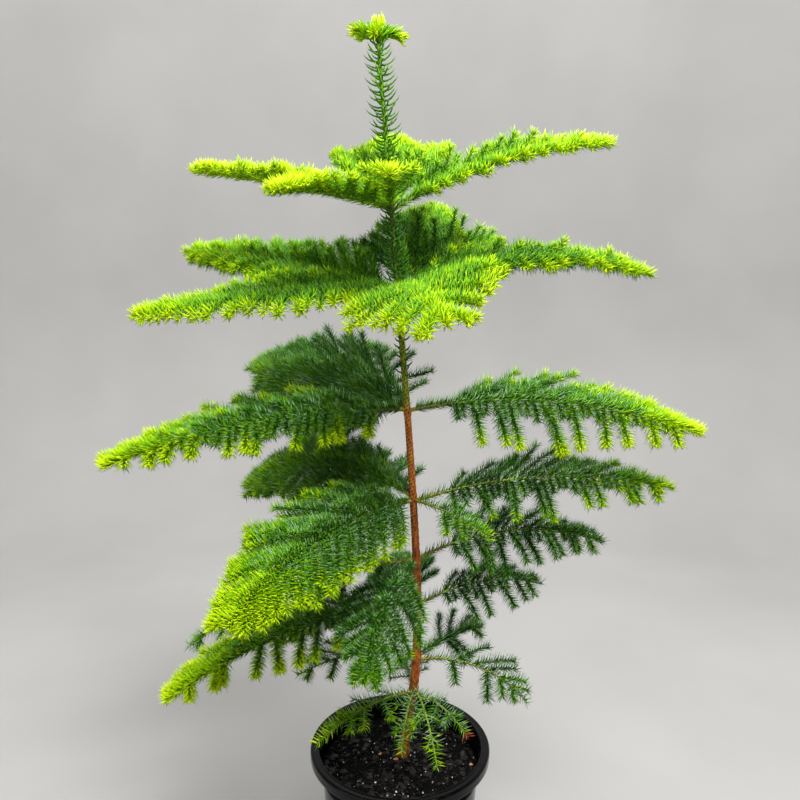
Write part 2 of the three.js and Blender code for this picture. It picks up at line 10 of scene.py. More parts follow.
import bmesh
import bpy
import numpy as np
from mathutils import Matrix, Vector


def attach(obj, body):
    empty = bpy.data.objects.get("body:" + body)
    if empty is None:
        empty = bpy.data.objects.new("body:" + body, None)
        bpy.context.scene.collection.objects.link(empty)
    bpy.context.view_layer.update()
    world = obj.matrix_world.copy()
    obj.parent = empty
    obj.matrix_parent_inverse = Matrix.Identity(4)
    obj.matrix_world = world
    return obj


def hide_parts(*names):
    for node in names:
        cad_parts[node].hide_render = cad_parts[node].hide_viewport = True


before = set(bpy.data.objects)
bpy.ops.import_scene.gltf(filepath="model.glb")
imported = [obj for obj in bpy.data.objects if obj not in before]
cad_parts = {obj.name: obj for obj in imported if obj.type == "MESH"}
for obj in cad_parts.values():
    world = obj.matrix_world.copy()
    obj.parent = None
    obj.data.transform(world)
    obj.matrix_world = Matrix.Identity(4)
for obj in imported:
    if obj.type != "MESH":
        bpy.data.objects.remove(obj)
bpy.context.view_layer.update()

NODES = list(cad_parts)
MM = 0.001

# %% [markdown]
# ## Seeded chance and small helpers
# A plant looks wrong when it is perfectly even, and a model is no use when it changes on every run. So each
# random number comes from a hash of whole numbers, such as the bough's and the twig's: the model was grown
# with the same hash, so bough and twig come out in the same places here.

# %% Chance, scatter and vectors
GROWTH_SEED = 20417
UP = np.array([0.0, 0.0, 1.0])
RIGHT = np.array([1.0, 0.0, 0.0])


def chance(*keys):
    """A number from 0 to 1: the keys are mixed one by one into a 32-bit hash by xor, multiply and shift."""
    mask = np.uint64(0xFFFFFFFF)
    mixed = np.full(np.broadcast(*[np.asarray(key) for key in keys]).shape, GROWTH_SEED, dtype=np.uint64)
    mixed = np.atleast_1d(mixed)
    for key in keys:
        mixed = ((mixed ^ (np.asarray(key, dtype=np.uint64) + np.uint64(1))) * np.uint64(0x9E3779B1)) & mask
        mixed ^= mixed >> np.uint64(15)
    mixed = ((mixed ^ (mixed >> np.uint64(13))) * np.uint64(0x85EBCA6B)) & mask
    mixed ^= mixed >> np.uint64(16)
    return mixed / 2.0**32


def scatter(*keys):
    """A number from -1 to 1, by chance."""
    return 2 * chance(*keys) - 1


def lerp(a, b, t):
    """The value t of the way from a to b."""
    return a + (b - a) * t


def unit(vectors):
    """Each vector divided by its length."""
    return vectors / np.linalg.norm(vectors, axis=-1, keepdims=True)


def square_to(along, steep):
    """Two directions square to each one and to each other: the cross product of the upright, or of +X where
    it is steep, with it, and of it with that."""
    across = unit(np.cross(np.where(steep[..., None], RIGHT, UP), along))
    return across, np.cross(along, across)


def resample(line, shares):
    """Points at the given shares, 0 to 1, of the way along each evenly stepped line (..., steps, 3)."""
    last = line.shape[-2] - 1
    place = np.clip(shares, 0, 1) * last
    low = np.minimum(place.astype(int), last - 1)
    first = np.take_along_axis(line, low[..., None], axis=-2)
    after = np.take_along_axis(line, low[..., None] + 1, axis=-2)
    return lerp(first, after, (place - low)[..., None])


print("first chances:", np.round([chance(0, 0)[0], chance(3, 5, 1)[0], chance(34, 12, 2)[0]], 4))

# %% [markdown]
# ## From arrays to a mesh
# Blender can build a mesh vertex by vertex, but a tree has hundreds of thousands of them. So each piece is
# worked out as whole numpy arrays, and foreach_set hands them over in one go. The arrays are in
# millimetres, as a grower would measure, and become metres here.

# %% Mesh helpers
def put_mesh(name, points, faces, slot=None, stands_for=(), smooth=True, **values):
    """A piece from points (mm) and faces of equal corner counts; values are per-point attributes."""
    mesh = bpy.data.meshes.new(name)
    mesh.vertices.add(len(points))
    mesh.vertices.foreach_set("co", (points * MM).astype(np.float32).ravel())
    mesh.loops.add(faces.size)
    mesh.loops.foreach_set("vertex_index", faces.astype(np.int32).ravel())
    mesh.polygons.add(len(faces))
    mesh.polygons.foreach_set("loop_start", np.arange(0, faces.size, faces.shape[1], dtype=np.int32))
    mesh.polygons.foreach_set("use_smooth", np.full(len(faces), smooth))
    mesh.update(calc_edges=True)
    for key, value in values.items():
        layer = mesh.attributes.new(key, "FLOAT", "POINT")
        layer.data.foreach_set("value", np.asarray(value, dtype=np.float32).ravel())
    piece = bpy.data.objects.new(name, mesh)
    bpy.context.scene.collection.objects.link(piece)
    if slot:
        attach(piece, "root")
        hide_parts(*stands_for)
    print(name + ":", len(points), "points,", len(faces), "faces")
    return piece


def grid_faces(rows, columns):
    """Quads of a grid of points numbered row by row, with the last column joined to the first."""
    row = np.arange(rows - 1)[:, None] * columns
    column = np.arange(columns)[None, :]
    after = (column + 1) % columns
    corners = [row + column, row + after, row + columns + after, row + columns + column]
    return np.stack(corners, axis=-1).reshape(-1, 4)


def halved(quads):
    """Two triangles for each quad."""
    return np.concatenate([quads[:, [0, 1, 2]], quads[:, [0, 2, 3]]])


def capped_faces(rows, columns):
    """Triangles of a round grid, its first and last rows closed to two points numbered after it."""
    side = np.arange(columns)
    after = (side + 1) % columns
    last = (rows - 1) * columns
    foot = np.stack([after, side, np.full(columns, rows * columns)], axis=-1)
    tip = np.stack([last + side, last + after, np.full(columns, rows * columns + 1)], axis=-1)
    return np.concatenate([halved(grid_faces(rows, columns)), foot, tip])


def joined(points, faces):
    """Copies of one small mesh, points (n, corners, 3), as one list of points and one list of faces."""
    faces = faces[None] + (np.arange(len(points)) * points.shape[1])[:, None, None]
    return points.reshape(-1, 3), faces.reshape(-1, 3)


def tubes(lines, radii, sides):
    """Closed round tubes along many lines (n, steps, 3): each ring is the point plus radius times cos and
    sin of the turn along two directions square to the line. Returns points and triangles, ends capped."""
    count, steps, _ = lines.shape
    along = unit(np.gradient(lines, axis=1))
    steep = np.abs(along[:, :, 2]).mean(axis=1) > 0.8
    across, over = square_to(along, steep[:, None])
    turn = np.arange(sides) * 2 * np.pi / sides
    ring = np.cos(turn)[:, None] * across[:, :, None] + np.sin(turn)[:, None] * over[:, :, None]
    radii = np.broadcast_to(np.asarray(radii, dtype=float), (count, steps))
    skin = lines[:, :, None] + radii[:, :, None, None] * ring
    points = np.concatenate([skin.reshape(count, -1, 3), lines[:, :1], lines[:, -1:]], axis=1)
    return joined(points, capped_faces(steps, sides))


print("triangles of a tube with 5 rings of 4:", len(capped_faces(5, 4)))

# %% [markdown]
# ## Node groups shared by the finishes
# Bark, needles, soil and plastic all vary in tone over a few millimetres. That is one effect, so it is one
# node group: a noise on the object's own coordinates that mixes two colours and also gives out its mask,
# for roughness or bump. Each material places the group with its own colours and scale.

# %% The mottle group
def paint(code):
    """A linear colour from a six-digit sRGB code."""
    value = np.array([int(code[k:k + 2], 16) for k in (0, 2, 4)]) / 255
    linear = np.where(value <= 0.04045, value / 12.92, ((value + 0.055) / 1.055) ** 2.4)
    return (*linear.tolist(), 1.0)


def add_node(tree, kind, values=(), **settings):
    """A new node with its settings; values give each input a number, a colour or a socket to link."""
    node = tree.nodes.new(kind)
    for key, value in settings.items():
        setattr(node, key, value)
    for key, value in dict(values).items():
        if isinstance(value, bpy.types.NodeSocket):
            tree.links.new(value, node.inputs[key])
        else:
            node.inputs[key].default_value = value
    return node


def make_mottle():
    """Mask: contrasted noise at Scale on stretched object coordinates; colour: One to Two by mask."""
    group = bpy.data.node_groups.new("mottle", "ShaderNodeTree")
    for label, kind in (("One", "Color"), ("Two", "Color"), ("Scale", "Float"), ("Stretch", "Vector")):
        group.interface.new_socket(name=label, in_out="INPUT", socket_type="NodeSocket" + kind)
    for label, kind in (("Color", "Color"), ("Mask", "Float")):
        group.interface.new_socket(name=label, in_out="OUTPUT", socket_type="NodeSocket" + kind)
    given = add_node(group, "NodeGroupInput").outputs
    place = add_node(group, "ShaderNodeTexCoord").outputs["Object"]
    sides = {0: place, 1: given["Stretch"]}
    stretched = add_node(group, "ShaderNodeVectorMath", sides, operation="MULTIPLY")
    waves = {"Vector": stretched.outputs[0], "Scale": given["Scale"], "Detail": 3}
    noise = add_node(group, "ShaderNodeTexNoise", waves).outputs["Fac"]
    contrast = {"Value": noise, "From Min": 0.34, "From Max": 0.66}
    mask = add_node(group, "ShaderNodeMapRange", contrast).outputs["Result"]
    tones = {"Factor": mask, "A": given["One"], "B": given["Two"]}
    mix = add_node(group, "ShaderNodeMix", tones, data_type="RGBA")
    add_node(group, "NodeGroupOutput", {"Color": mix.outputs["Result"], "Mask": mask})
    return group


MOTTLE = make_mottle()
print("node groups:", [group.name for group in bpy.data.node_groups])

# %% A material helper
class Finish:
    """A material with one Principled shader and short ways to add a mottle, a blend, a ramp or a bump."""

    def __init__(self, name, specular=0.5, roughness=0.5):
        self.material = bpy.data.materials.new(name)
        self.material.use_nodes = True
        self.tree = self.material.node_tree
        self.shader = self.tree.nodes["Principled BSDF"].inputs
        self.shader["Roughness"].default_value = roughness
        self.shader["Specular IOR Level"].default_value = specular

    def mottle(self, one, two, scale, stretch=(1, 1, 1)):
        """Colour and mask of the shared mottle between two colour codes; scale is in waves to a metre."""
        values = {"One": paint(one), "Two": paint(two), "Scale": scale, "Stretch": stretch}
        made = add_node(self.tree, "ShaderNodeGroup", values, node_tree=MOTTLE).outputs
        return made["Color"], made["Mask"]

    def blend(self, factor, first, second):
        """Colour: the first where the factor is 0, the second, a colour code or a socket, where it is 1."""
        second = paint(second) if isinstance(second, str) else second
        values = {"Factor": factor, "A": first, "B": second}
        return add_node(self.tree, "ShaderNodeMix", values, data_type="RGBA").outputs["Result"]

    def spread(self, value, low, high, to_low=0.0, to_high=1.0):
        """The value stretched from low..high to to_low..to_high, clamped."""
        values = {"Value": value, "From Min": low, "From Max": high, "To Min": to_low, "To Max": to_high}
        return add_node(self.tree, "ShaderNodeMapRange", values).outputs["Result"]

    def attribute(self, name):
        """One of the mesh's own per-point values."""
        return add_node(self.tree, "ShaderNodeAttribute", attribute_name=name).outputs["Fac"]

    def height(self):
        """The object's own Z coordinate, in metres above the pot's underside."""
        place = add_node(self.tree, "ShaderNodeTexCoord").outputs["Object"]
        return add_node(self.tree, "ShaderNodeSeparateXYZ", {0: place}).outputs["Z"]

    def coat(self, colour, mask=None, smooth=0.0, dull=1.0):
        """Puts on the base colour, and the roughness from smooth to dull as the mask goes from 0 to 1."""
        self.tree.links.new(colour, self.shader["Base Color"])
        if mask:
            self.tree.links.new(self.spread(mask, 0, 1, smooth, dull), self.shader["Roughness"])

    def bump(self, height, strength, distance):
        """Small relief by the shader alone; distance is in metres."""
        values = {"Height": height, "Strength": strength, "Distance": distance}
        self.tree.links.new(add_node(self.tree, "ShaderNodeBump", values).outputs[0], self.shader["Normal"])

    def dress(self, *pieces):
        """Gives the pieces this finish and no other."""
        for piece in pieces:
            piece.data.materials.clear()
            piece.data.materials.append(self.material)


def two_tone(name, pieces, tones, scale, dull, specular=0.5, relief=0.0):
    """A finish that drifts between two tones, roughness from dull[0] to dull[1], with a bump if any."""
    finish = Finish(name, specular)
    tone, mask = finish.mottle(*tones, scale)
    finish.coat(tone, mask, *dull)
    if relief:
        finish.bump(mask, 0.5, relief)
    finish.dress(*pieces)


print("finishes share", MOTTLE.name)

# %% [markdown]
# ## The table of boughs
# The species grows its boughs in whorls, one tier a year. Each line is one bough: where it points (degrees
# round the trunk from +X, the camera is at 270), its length, its slope at the trunk and at its tip, the
# tilt of its flat spray, its longest twig, its bare foot, and the length share of its lowered row. The last
# two numbers are the tone of its inner and of its tip needles, from 0, old blue-green, to 6, new lime.
# Before its boughs a whorl gives its height, how far its twigs sag, and its vee: on young boughs both rows
# of twigs turn up.

# %% Whorls and boughs
WHORLS = {
    "w1": (250, 0.5, 0, {
        "front_left": (216, 122, 12, -28, 20, 26, 16, 1, 2.4, 4.2),
        "front": (258, 74, 2, -62, 5, 20, 14, 1, 1.3, 3.2),
        "front_right": (284, 98, 8, -55, 10, 20, 16, 1, 1.3, 3.8),
        "right": (322, 74, 8, -50, 20, 18, 16, 1, 1.2, 3.2),
        "back": (98, 92, 8, -25, 5, 34, 16, 1, 1.0, 3.0),
    }),
    "w2": (290, 0.6, 0, {
        "right": (-6, 132, 10, -52, 30, 50, 30, 0.7, 0.7, 2.4),
        "back_right": (44, 108, 12, -14, 25, 50, 22, 0.7, 0.7, 2.2),
        "left": (174, 138, 4, -34, 30, 48, 26, 0.6, 0.9, 3.0),
    }),
    "w3": (353, 0.7, 0, {
        "right": (20, 154, 22, -22, 35, 60, 24, 0.75, 0.6, 1.9),
        "left": (195, 278, 2, -34, 30, 62, 44, 0.65, 2.2, 6.0),
        "back": (100, 150, 10, -15, 5, 56, 22, 1, 0.6, 2.0),
    }),
    "w4": (404, 0.8, 0, {
        "right": (12, 222, 24, -24, 38, 64, 34, 0.75, 0.6, 2.2),
        "back_left": (178, 276, -8, -38, 26, 40, 30, 0.8, 0.9, 2.6),
        "front_left": (245, 150, -5, -62, 12, 58, 24, 1, 1.2, 3.2),
    }),
    "w5": (472, 0.8, 0, {
        "right": (2, 282, 18, -14, 42, 68, 34, 0.75, 0.9, 4.2),
        "front_left": (223, 240, 5, -40, 24, 88, 28, 0.8, 1.5, 5.8),
        "back_left": (154, 226, 26, -36, 30, 80, 30, 0.8, 2.3, 3.3),
        "front_right": (318, 100, 0, -24, 10, 28, 20, 1, 1.3, 3.6),
        "back": (112, 164, 14, -8, 5, 60, 24, 1, 0.9, 2.4),
    }),
    "w6": (566, 0.9, 0, {
        "right": (-4, 302, 12, -20, 40, 72, 42, 0.85, 1.4, 6.2),
        "front_left": (195, 304, 4, -20, 28, 70, 30, 0.6, 1.6, 6.0),
        "back_left": (142, 240, 20, -10, 50, 98, 26, 0.8, 1.6, 3.6),
        "back": (106, 176, 30, 8, 5, 62, 26, 1, 1.0, 3.0),
    }),
    "w7": (692, 0.45, 12, {
        "right": (4, 268, 24, -18, 24, 46, 26, 0.7, 1.5, 5.4),
        "back_right": (48, 180, 30, 6, 22, 54, 22, 1, 1.6, 4.4),
        "back": (74, 190, 36, 24, 8, 58, 22, 1, 1.7, 4.4),
        "back_left": (160, 257, 16, 3, 26, 52, 24, 1, 2.1, 4.6),
        "front_left": (196, 256, -2, -10, 20, 48, 24, 0.8, 1.9, 6.0),
        "front": (285, 160, 8, -26, 14, 88, 22, 1, 2.8, 6.4),
    }),
    "w8": (777, 0.25, 28, {
        "right": (0, 228, 32, 0, 8, 44, 18, 1, 2.7, 5.4),
        "back_right": (62, 145, 40, 16, 4, 44, 18, 1, 2.6, 5.6),
        "back": (90, 134, 48, 30, 0, 42, 18, 1, 2.6, 5.6),
        "back_left": (118, 140, 40, 14, 4, 44, 18, 1, 2.6, 5.6),
        "left": (179, 200, 15, 6, 8, 42, 18, 1, 4.4, 6.2),
        "front_left": (228, 152, 8, -7, 4, 42, 18, 1, 3.3, 6.4),
        "front": (270, 118, 16, -2, 0, 40, 18, 1, 3.1, 5.8),
    }),
}
COLUMNS = "tier label height sag vee toward length rise fall tilt twig bare hang inner outer"
Bough = namedtuple("Bough", COLUMNS)
BOUGHS = [
    Bough(tier, f"{tier}_{side}", *whorl, *size)
    for tier, (*whorl, sides) in WHORLS.items()
    for side, size in sides.items()
]


def column(name):
    """One column of the table, a number for each bough."""
    return np.array([getattr(bough, name) for bough in BOUGHS], dtype=float)


def by_bough(values, usual):
    """A value for each bough: its own from the dictionary, else its whorl's, else the usual one."""
    return np.array([values.get(bough.label, values.get(bough.tier, usual)) for bough in BOUGHS])


LENGTHS, BARE, INNER, OUTER = [column(name) for name in ("length", "bare", "inner", "outer")]
YOUNG = column("vee") > 0
LIMB_RADIUS = 1.2 + 0.0016 * LENGTHS
print("boughs:", len(BOUGHS), "in", len(WHORLS), "whorls")

# %% [markdown]
# ## The trunk's line
# The stem leans to the right as far as a knee and then back to the left. A Catmull-Rom spline through four
# measured points gives that sway with no corner, and the boughs find their own foot on it by height.

# %% Trunk line and thickness
TRUNK_POINTS = np.array([[3, 8, 168.3], [18.5, 8, 295], [13, 8, 490], [-21, 8, 930]])
FOOT, TOP = 168.3, 930.0
FOOT_RADIUS, TOP_RADIUS = 5.4, 1.9
FLARE, FLARE_FADE = 2.2, 16


def spline(points, shares):
    """Catmull-Rom: cubics whose slope at each point is half the step between its neighbours."""
    ends = np.concatenate([2 * points[:1] - points[1:2], points, 2 * points[-1:] - points[-2:-1]])
    place = np.clip(shares, 0, 1) * (len(points) - 1)
    leg = np.minimum(place.astype(int), len(points) - 2)
    t = (place - leg)[:, None]
    before, first, second, behind = ends[leg], ends[leg + 1], ends[leg + 2], ends[leg + 3]
    slope_in, slope_out = (second - before) / 2, (behind - first) / 2
    square = (3 * (second - first) - 2 * slope_in - slope_out) * t**2
    cube = (2 * (first - second) + slope_in + slope_out) * t**3
    return first + slope_in * t + square + cube


TRUNK_LINE = spline(TRUNK_POINTS, np.linspace(0, 1, 4001))


def trunk_centre(height):
    """The trunk line's point at each height."""
    height = np.asarray(height, dtype=float)
    place = [np.interp(height, TRUNK_LINE[:, 2], TRUNK_LINE[:, axis]) for axis in (0, 1)]
    return np.stack([*place, height], axis=-1)


def trunk_radius(height):
    """A straight taper from foot to top, plus a root flare that fades within a few centimetres."""
    above = np.asarray(height) - FOOT
    return lerp(FOOT_RADIUS, TOP_RADIUS, above / (TOP - FOOT)) + FLARE * np.exp(-above / FLARE_FADE)


print("trunk leans from", trunk_centre(FOOT).round(1), "to", trunk_centre(TOP).round(1))

# %% [markdown]
# ## Spines
# The limb of a bough is an arc: its slope changes evenly from where it leaves the trunk to its tip, so
# young boughs rise and old ones droop. Adding up 32 short steps of that slope gives its points.

# %% Spines
SPINE_STEPS = 32
HEIGHT_SCATTER = 4


def grow_spine(number):
    """One spine's points: from the trunk's skin, equal steps along the heading, slope after slope."""
    bough = BOUGHS[number]
    toward, rise, fall = np.radians([bough.toward, bough.rise, bough.fall])
    heading = np.array([np.cos(toward), np.sin(toward), 0])
    at = bough.height + HEIGHT_SCATTER * scatter(number, 0)[0]
    out = trunk_radius(at) + 0.3 + LIMB_RADIUS[number] * (np.sin(abs(rise)) + 0.1)
    slope = lerp(rise, fall, (np.arange(SPINE_STEPS) + 0.5) / SPINE_STEPS)[:, None]
    steps = (heading * np.cos(slope) + UP * np.sin(slope)) * bough.length / SPINE_STEPS
    start = trunk_centre(at) + heading * out
    return np.concatenate([start[None], start + np.cumsum(steps, axis=0)]), heading


SPINES, HEADINGS = [np.stack(part) for part in zip(*[grow_spine(number) for number in range(len(BOUGHS))])]
print("spines reach", np.round(SPINES[:, -1, 0].min()), "to", np.round(SPINES[:, -1, 0].max()), "mm across")

# %% [markdown]
# ## Room for a twig
# A twig that would run into the trunk, the soil, the rim or another limb stops short of it, as it would in
# life. Each twig is first grown whole as a bent line, and then cut at its first point without room.

# %% Bent lines, cut where they have no room
TWIG_STEPS, NEAR_SPINE = 16, 3
SHORTEST = 8
TRUNK_ROOM, LIMB_ROOM = 6, 7
SOIL_REACH, LOWEST_OVER_SOIL, LOWEST_OVER_RIM = 78, 177, 200


def free_share(lines, number):
    """The share of each twig before its first clash with the trunk, the pot or another spine. Its first
    points, near its own spine, always count as clear."""
    near_trunk = np.linalg.norm((lines - trunk_centre(lines[..., 2]))[..., :2], axis=-1)
    clear = near_trunk > trunk_radius(lines[..., 2]) + TRUNK_ROOM
    over_soil = np.linalg.norm(lines[..., :2], axis=-1) < SOIL_REACH
    clear &= lines[..., 2] > np.where(over_soil, LOWEST_OVER_SOIL, LOWEST_OVER_RIM)
    others = np.delete(SPINES, number, axis=0)[:, ::2].reshape(-1, 3)
    clear &= np.linalg.norm(lines[..., None, :] - others, axis=-1).min(axis=-1) > LIMB_ROOM
    clear[:, :NEAR_SPINE] = True
    first_clash = np.where(clear.all(axis=1), lines.shape[1], np.argmin(clear, axis=1))
    return np.clip((first_clash - 1) / (lines.shape[1] - 1), 0, 1)


def bent_lines(root, direction, lengths, bend):
    """Lines that start in a direction and turn with the bend, a vector: step i is the direction plus the
    bend times (i + 0.5) / steps, made a unit vector."""
    share = (np.arange(TWIG_STEPS) + 0.5) / TWIG_STEPS
    steps = unit(direction[:, None] + bend[:, None] * share[:, None])
    steps = steps * (lengths / TWIG_STEPS)[:, None, None]
    return np.concatenate([root[:, None], root[:, None] + np.cumsum(steps, axis=1)], axis=1)


def cut_free(lines, lengths, number, wanted):
    """The free share of each wanted line, stepped evenly again, without those that are left too short."""
    free = free_share(lines, number)
    keep = wanted & (free * lengths > SHORTEST)
    shares = free[keep, None] * np.linspace(0, 1, TWIG_STEPS + 1)
    return resample(lines[keep], shares), (free * lengths)[keep], keep


print("a twig has", TWIG_STEPS, "steps and at least", SHORTEST, "mm")

# %% [markdown]
# ## Twigs
# Twigs stand left and right along the spine in one flat spray, longest near the foot and short at the tip,
# and some boughs carry a third row of short ones on top. The model grows only some stations; here nearly
# all grow a twig, so the spray closes up as on the real tree. In the hanging row one twig in a few, picked
# by chance, grows whole, and the others stay short, so that separate brushes hang from a closed body. The
# tables give each bough's own habit.

# %% The habits of single boughs
# For each: stations from twig to twig in the upper row, stations from whole brush to whole brush in the
# hanging row, and the length of the brushes between, as a share.
ROW_STEPS = {
    "w1": (3, 3, 0), "w2": (2, 3, 0), "w3": (1, 3, 0.3), "w4": (1, 2, 0.3), "w5": (2, 3, 0.4),
    "w6": (1, 3, 0.35), "w7": (1, 2, 0.6), "w8": (1, 1, 1), "w3_left": (1, 3, 0.25),
    "w4_front_left": (1, 2, 0.7), "w4_back_left": (3, 3, 0), "w5_right": (1, 3, 0.4),
    "w5_front_left": (1, 2, 0.62), "w5_back_left": (1, 2, 0.8), "w5_back": (3, 3, 0.6),
    "w6_front_left": (1, 3, 0.55), "w6_back_left": (1, 2, 0.8), "w6_back": (3, 3, 0.6),
    "w7_front": (1, 2, 0.8), "w7_right": (1, 2, 0.65), "w8_front": (2, 2, 0.7),
}
# How far hanging twigs turn towards the spine's tip, where they close up to a fan
FORWARD = {"w5_front_left": 0.9, "w5_back_left": 0.8, "w4_front_left": 0.5, "w6_back_left": 0.5}
# The share of its full length that a twig has at the foot of the spray
USUAL_FOOT = 0.72
FULL_FOOT = {
    "w6_back_left": 0.9, "w7_back_left": 1.35, "w7_back": 1.0, "w7_back_right": 1.0, "w8_back": 1.2,
    "w8_back_left": 1.2, "w8_back_right": 1.2,
}
# Boughs with a second set of twigs between the stations
FILLED = [
    "w5_front_left", "w5_back_left", "w6_back_left", "w7_back_left", "w7_back", "w8_back_left", "w8_back",
]
# By what share, at most, chance shortens a twig of the upper row
RAGGED = {
    "w3_right": 0.5, "w4_right": 0.5, "w5_right": 0.5, "w6_right": 0.3, "w7_right": 0.3, "w8_right": 0.1,
}
# A vee and a tilt that let the near row hang lower than the table's
LOWERED = {"w8_right": (14, 22)}
# Length of the row on top, as a share
CREST = {
    "w3_left": 0.5, "w4_front_left": 0.5, "w5_front_left": 0.45, "w5_back_left": 0.4, "w6_front_left": 0.5,
    "w6_back_left": 0.4, "w6_right": 0.4, "w7_back_left": 0.5, "w7_back": 0.6, "w7_back_right": 1.0,
    "w7_right": 0.65, "w8_front": 0.5, "w8_front_left": 0.5, "w8_back_left": 0.6, "w8_back": 0.6,
    "w8_back_right": 0.6, "w8_left": 0.4, "w8_right": 0.75,
}
print("boughs with a row on top:", len(CREST), " filled:", len(FILLED))

# %% Twig rules
LONGEST_AT, TIP_SHARE = 0.3, 0.34


def twig_share(u, at_foot):
    """Twig length along the spray: the share at the foot, full after a third, then down again."""
    falling = lerp(1, TIP_SHARE, (u - LONGEST_AT) / (1 - LONGEST_AT))
    return np.where(u < LONGEST_AT, lerp(at_foot, 1, u / LONGEST_AT), falling)


def on_step(step, k, hand):
    """Which stations carry a twig: each, every other one by turns left and right, or every third."""
    return (k + (hand > 0)) % 2 == 0 if step == 2 else k % step == 0


def brush_share(number, k, step, short):
    """Length shares of a hanging row: in each run of so many stations one, picked by chance, is whole, and
    the others have about the short share. Also says which are whole."""
    whole = np.floor(step * chance(number, k // step, 8)) == k % step
    share = np.where(whole, 1 + 0.1 * scatter(number, k, 11), short * (1 + 0.3 * scatter(number, k, 12)))
    return share, whole


print("twig shares along a spray:", twig_share(np.linspace(0, 1, 5), USUAL_FOOT).round(2))

# %% Twigs
STATION_PITCH = 8
FIRST_STATION = 4
BETWEEN = 1000
END_TWIG = 30
HANGING = -0.15
FORK_AT_FOOT, FORK_AT_TIP, FORK_SCATTER = 64, 38, 12
CLOSES_YOUNG, CLOSES_OLD = 8, 18
WAVE, CURL, CURL_SCATTER, DROOP_UP = 0.10, 0.35, 0.28, 0.2
UPPER_SCATTER, CREST_SCATTER = 0.06, 0.25


def stations(bough):
    """The numbers k of a bough's stations, three of each for left, top and right, and their places along
    the spray and along the spine. Those from BETWEEN on are the second set, half way between."""
    start = bough.bare + FIRST_STATION
    leafy = bough.length - END_TWIG / 2 - start
    count = int(np.ceil(leafy / STATION_PITCH))
    second_set = BETWEEN + np.arange(count if bough.label in FILLED else 0)
    k = np.repeat(np.append(np.arange(count), second_set), 3)
    steps = np.where(k < BETWEEN, k, k - BETWEEN - 1.5) * STATION_PITCH
    return k, np.clip(steps / leafy, 0, 1), (start + steps) / bough.length


def grow_twigs(number):
    """One bough's twigs: each leaves the spine at its fork angle and bends down a little more with every
    step. The tilt lifts the far row and lowers the near one, the vee lifts both. Twigs that hang stand
    squarer from the spine; those that turn up lie forward and bend less. Returns lines, lengths, stations,
    places along the spray, lift (the rise of the twig's side) and whether the twig is whole."""
    bough = BOUGHS[number]
    young = bough.vee > 0
    vee, tilt = LOWERED.get(bough.label, (bough.vee, bough.tilt))
    upper, lower, short = ROW_STEPS.get(bough.label, ROW_STEPS[bough.tier])
    k, u, share = stations(bough)
    hand = np.arange(len(k)) % 3 - 1.0
    on_top = hand == 0
    spine = SPINES[number]
    along = unit(resample(spine, share + 1 / bough.length) - resample(spine, share - 1 / bough.length))
    level = np.cross(UP, HEADINGS[number])
    over = np.cross(along, level)
    lean = np.radians(vee + hand * tilt * np.sign(level[1]))[:, None]
    side = np.where(on_top[:, None], over, level * hand[:, None] * np.cos(lean) + over * np.sin(lean))
    lift = side[:, 2]
    hangs = lift < HANGING
    closes = CLOSES_YOUNG if young else CLOSES_OLD
    fork = lerp(FORK_AT_FOOT, FORK_AT_TIP, u) - closes * np.clip(2 * lift, -1, 1)
    fork = np.radians(fork + FORK_SCATTER * scatter(number, k, 1))[:, None]
    wave = over * (WAVE * scatter(number, k, 6))[:, None]
    direction = along * np.cos(fork) + side * np.sin(fork) + wave
    brushes, whole = brush_share(number, k, lower, short)
    wanted = bough.twig * twig_share(u, FULL_FOOT.get(bough.label, USUAL_FOOT))
    wanted = wanted * np.where(hangs, bough.hang * brushes, 1 + UPPER_SCATTER * scatter(number, k, 2))
    wanted = wanted * np.where(hangs, 1, 1 - RAGGED.get(bough.label, 0) * chance(number, k, 15))
    crest = CREST.get(bough.label, 0)
    wanted = np.where(on_top, crest * wanted * (1 + CREST_SCATTER * scatter(number, k, 14)), wanted)
    droop = bough.sag * np.where(lift > 0, DROOP_UP, 1.0)
    curl = np.where(hangs, FORWARD.get(bough.label, 0), 0 if young else CURL)
    curl = curl + CURL_SCATTER * scatter(number, k, 13)
    bend = along * curl[:, None] - UP * droop[:, None]
    lines = bent_lines(resample(spine, share), direction, wanted, bend)
    grows = np.where(on_top, k % 2 == 0, hangs | on_step(upper, k, hand))
    lines, lengths, keep = cut_free(lines, wanted, number, grows)
    whole = np.where(on_top, young, whole | ~hangs)
    return lines, lengths, k[keep], u[keep], lift[keep], whole[keep]


twig_sets = [grow_twigs(number) for number in range(len(BOUGHS))]
TWIG_LINES, TWIG_LENGTHS, TWIG_STATION, TWIG_U, TWIG_LIFT, TWIG_WHOLE = [
    np.concatenate(parts) for parts in zip(*twig_sets)
]
TWIG_BOUGH = np.repeat(np.arange(len(BOUGHS)), [len(part[1]) for part in twig_sets])
print("twigs:", len(TWIG_LINES), "with", round(TWIG_LENGTHS.sum() / 1000, 1), "m of stem")

# %% [markdown]
# ## The bud at the tip
# The leader ends in a rosette of new shoots round an upright bud. They are grown as short twigs of their
# own, so that the needles below treat them like any other twig.

# %% Shoots of the leader's bud
BUD_TURNS = np.radians([8, 62, 150, 190, 255])
BUD_RISE = np.radians(42)
BUD_LENGTHS = np.array([25.0, 20, 22, 26, 17, 17])
BUD_DROOP = np.array([1.25, 0.6, 0.9, 0.95, 1.3, 0.0])
SHOOTS = len(BUD_TURNS)


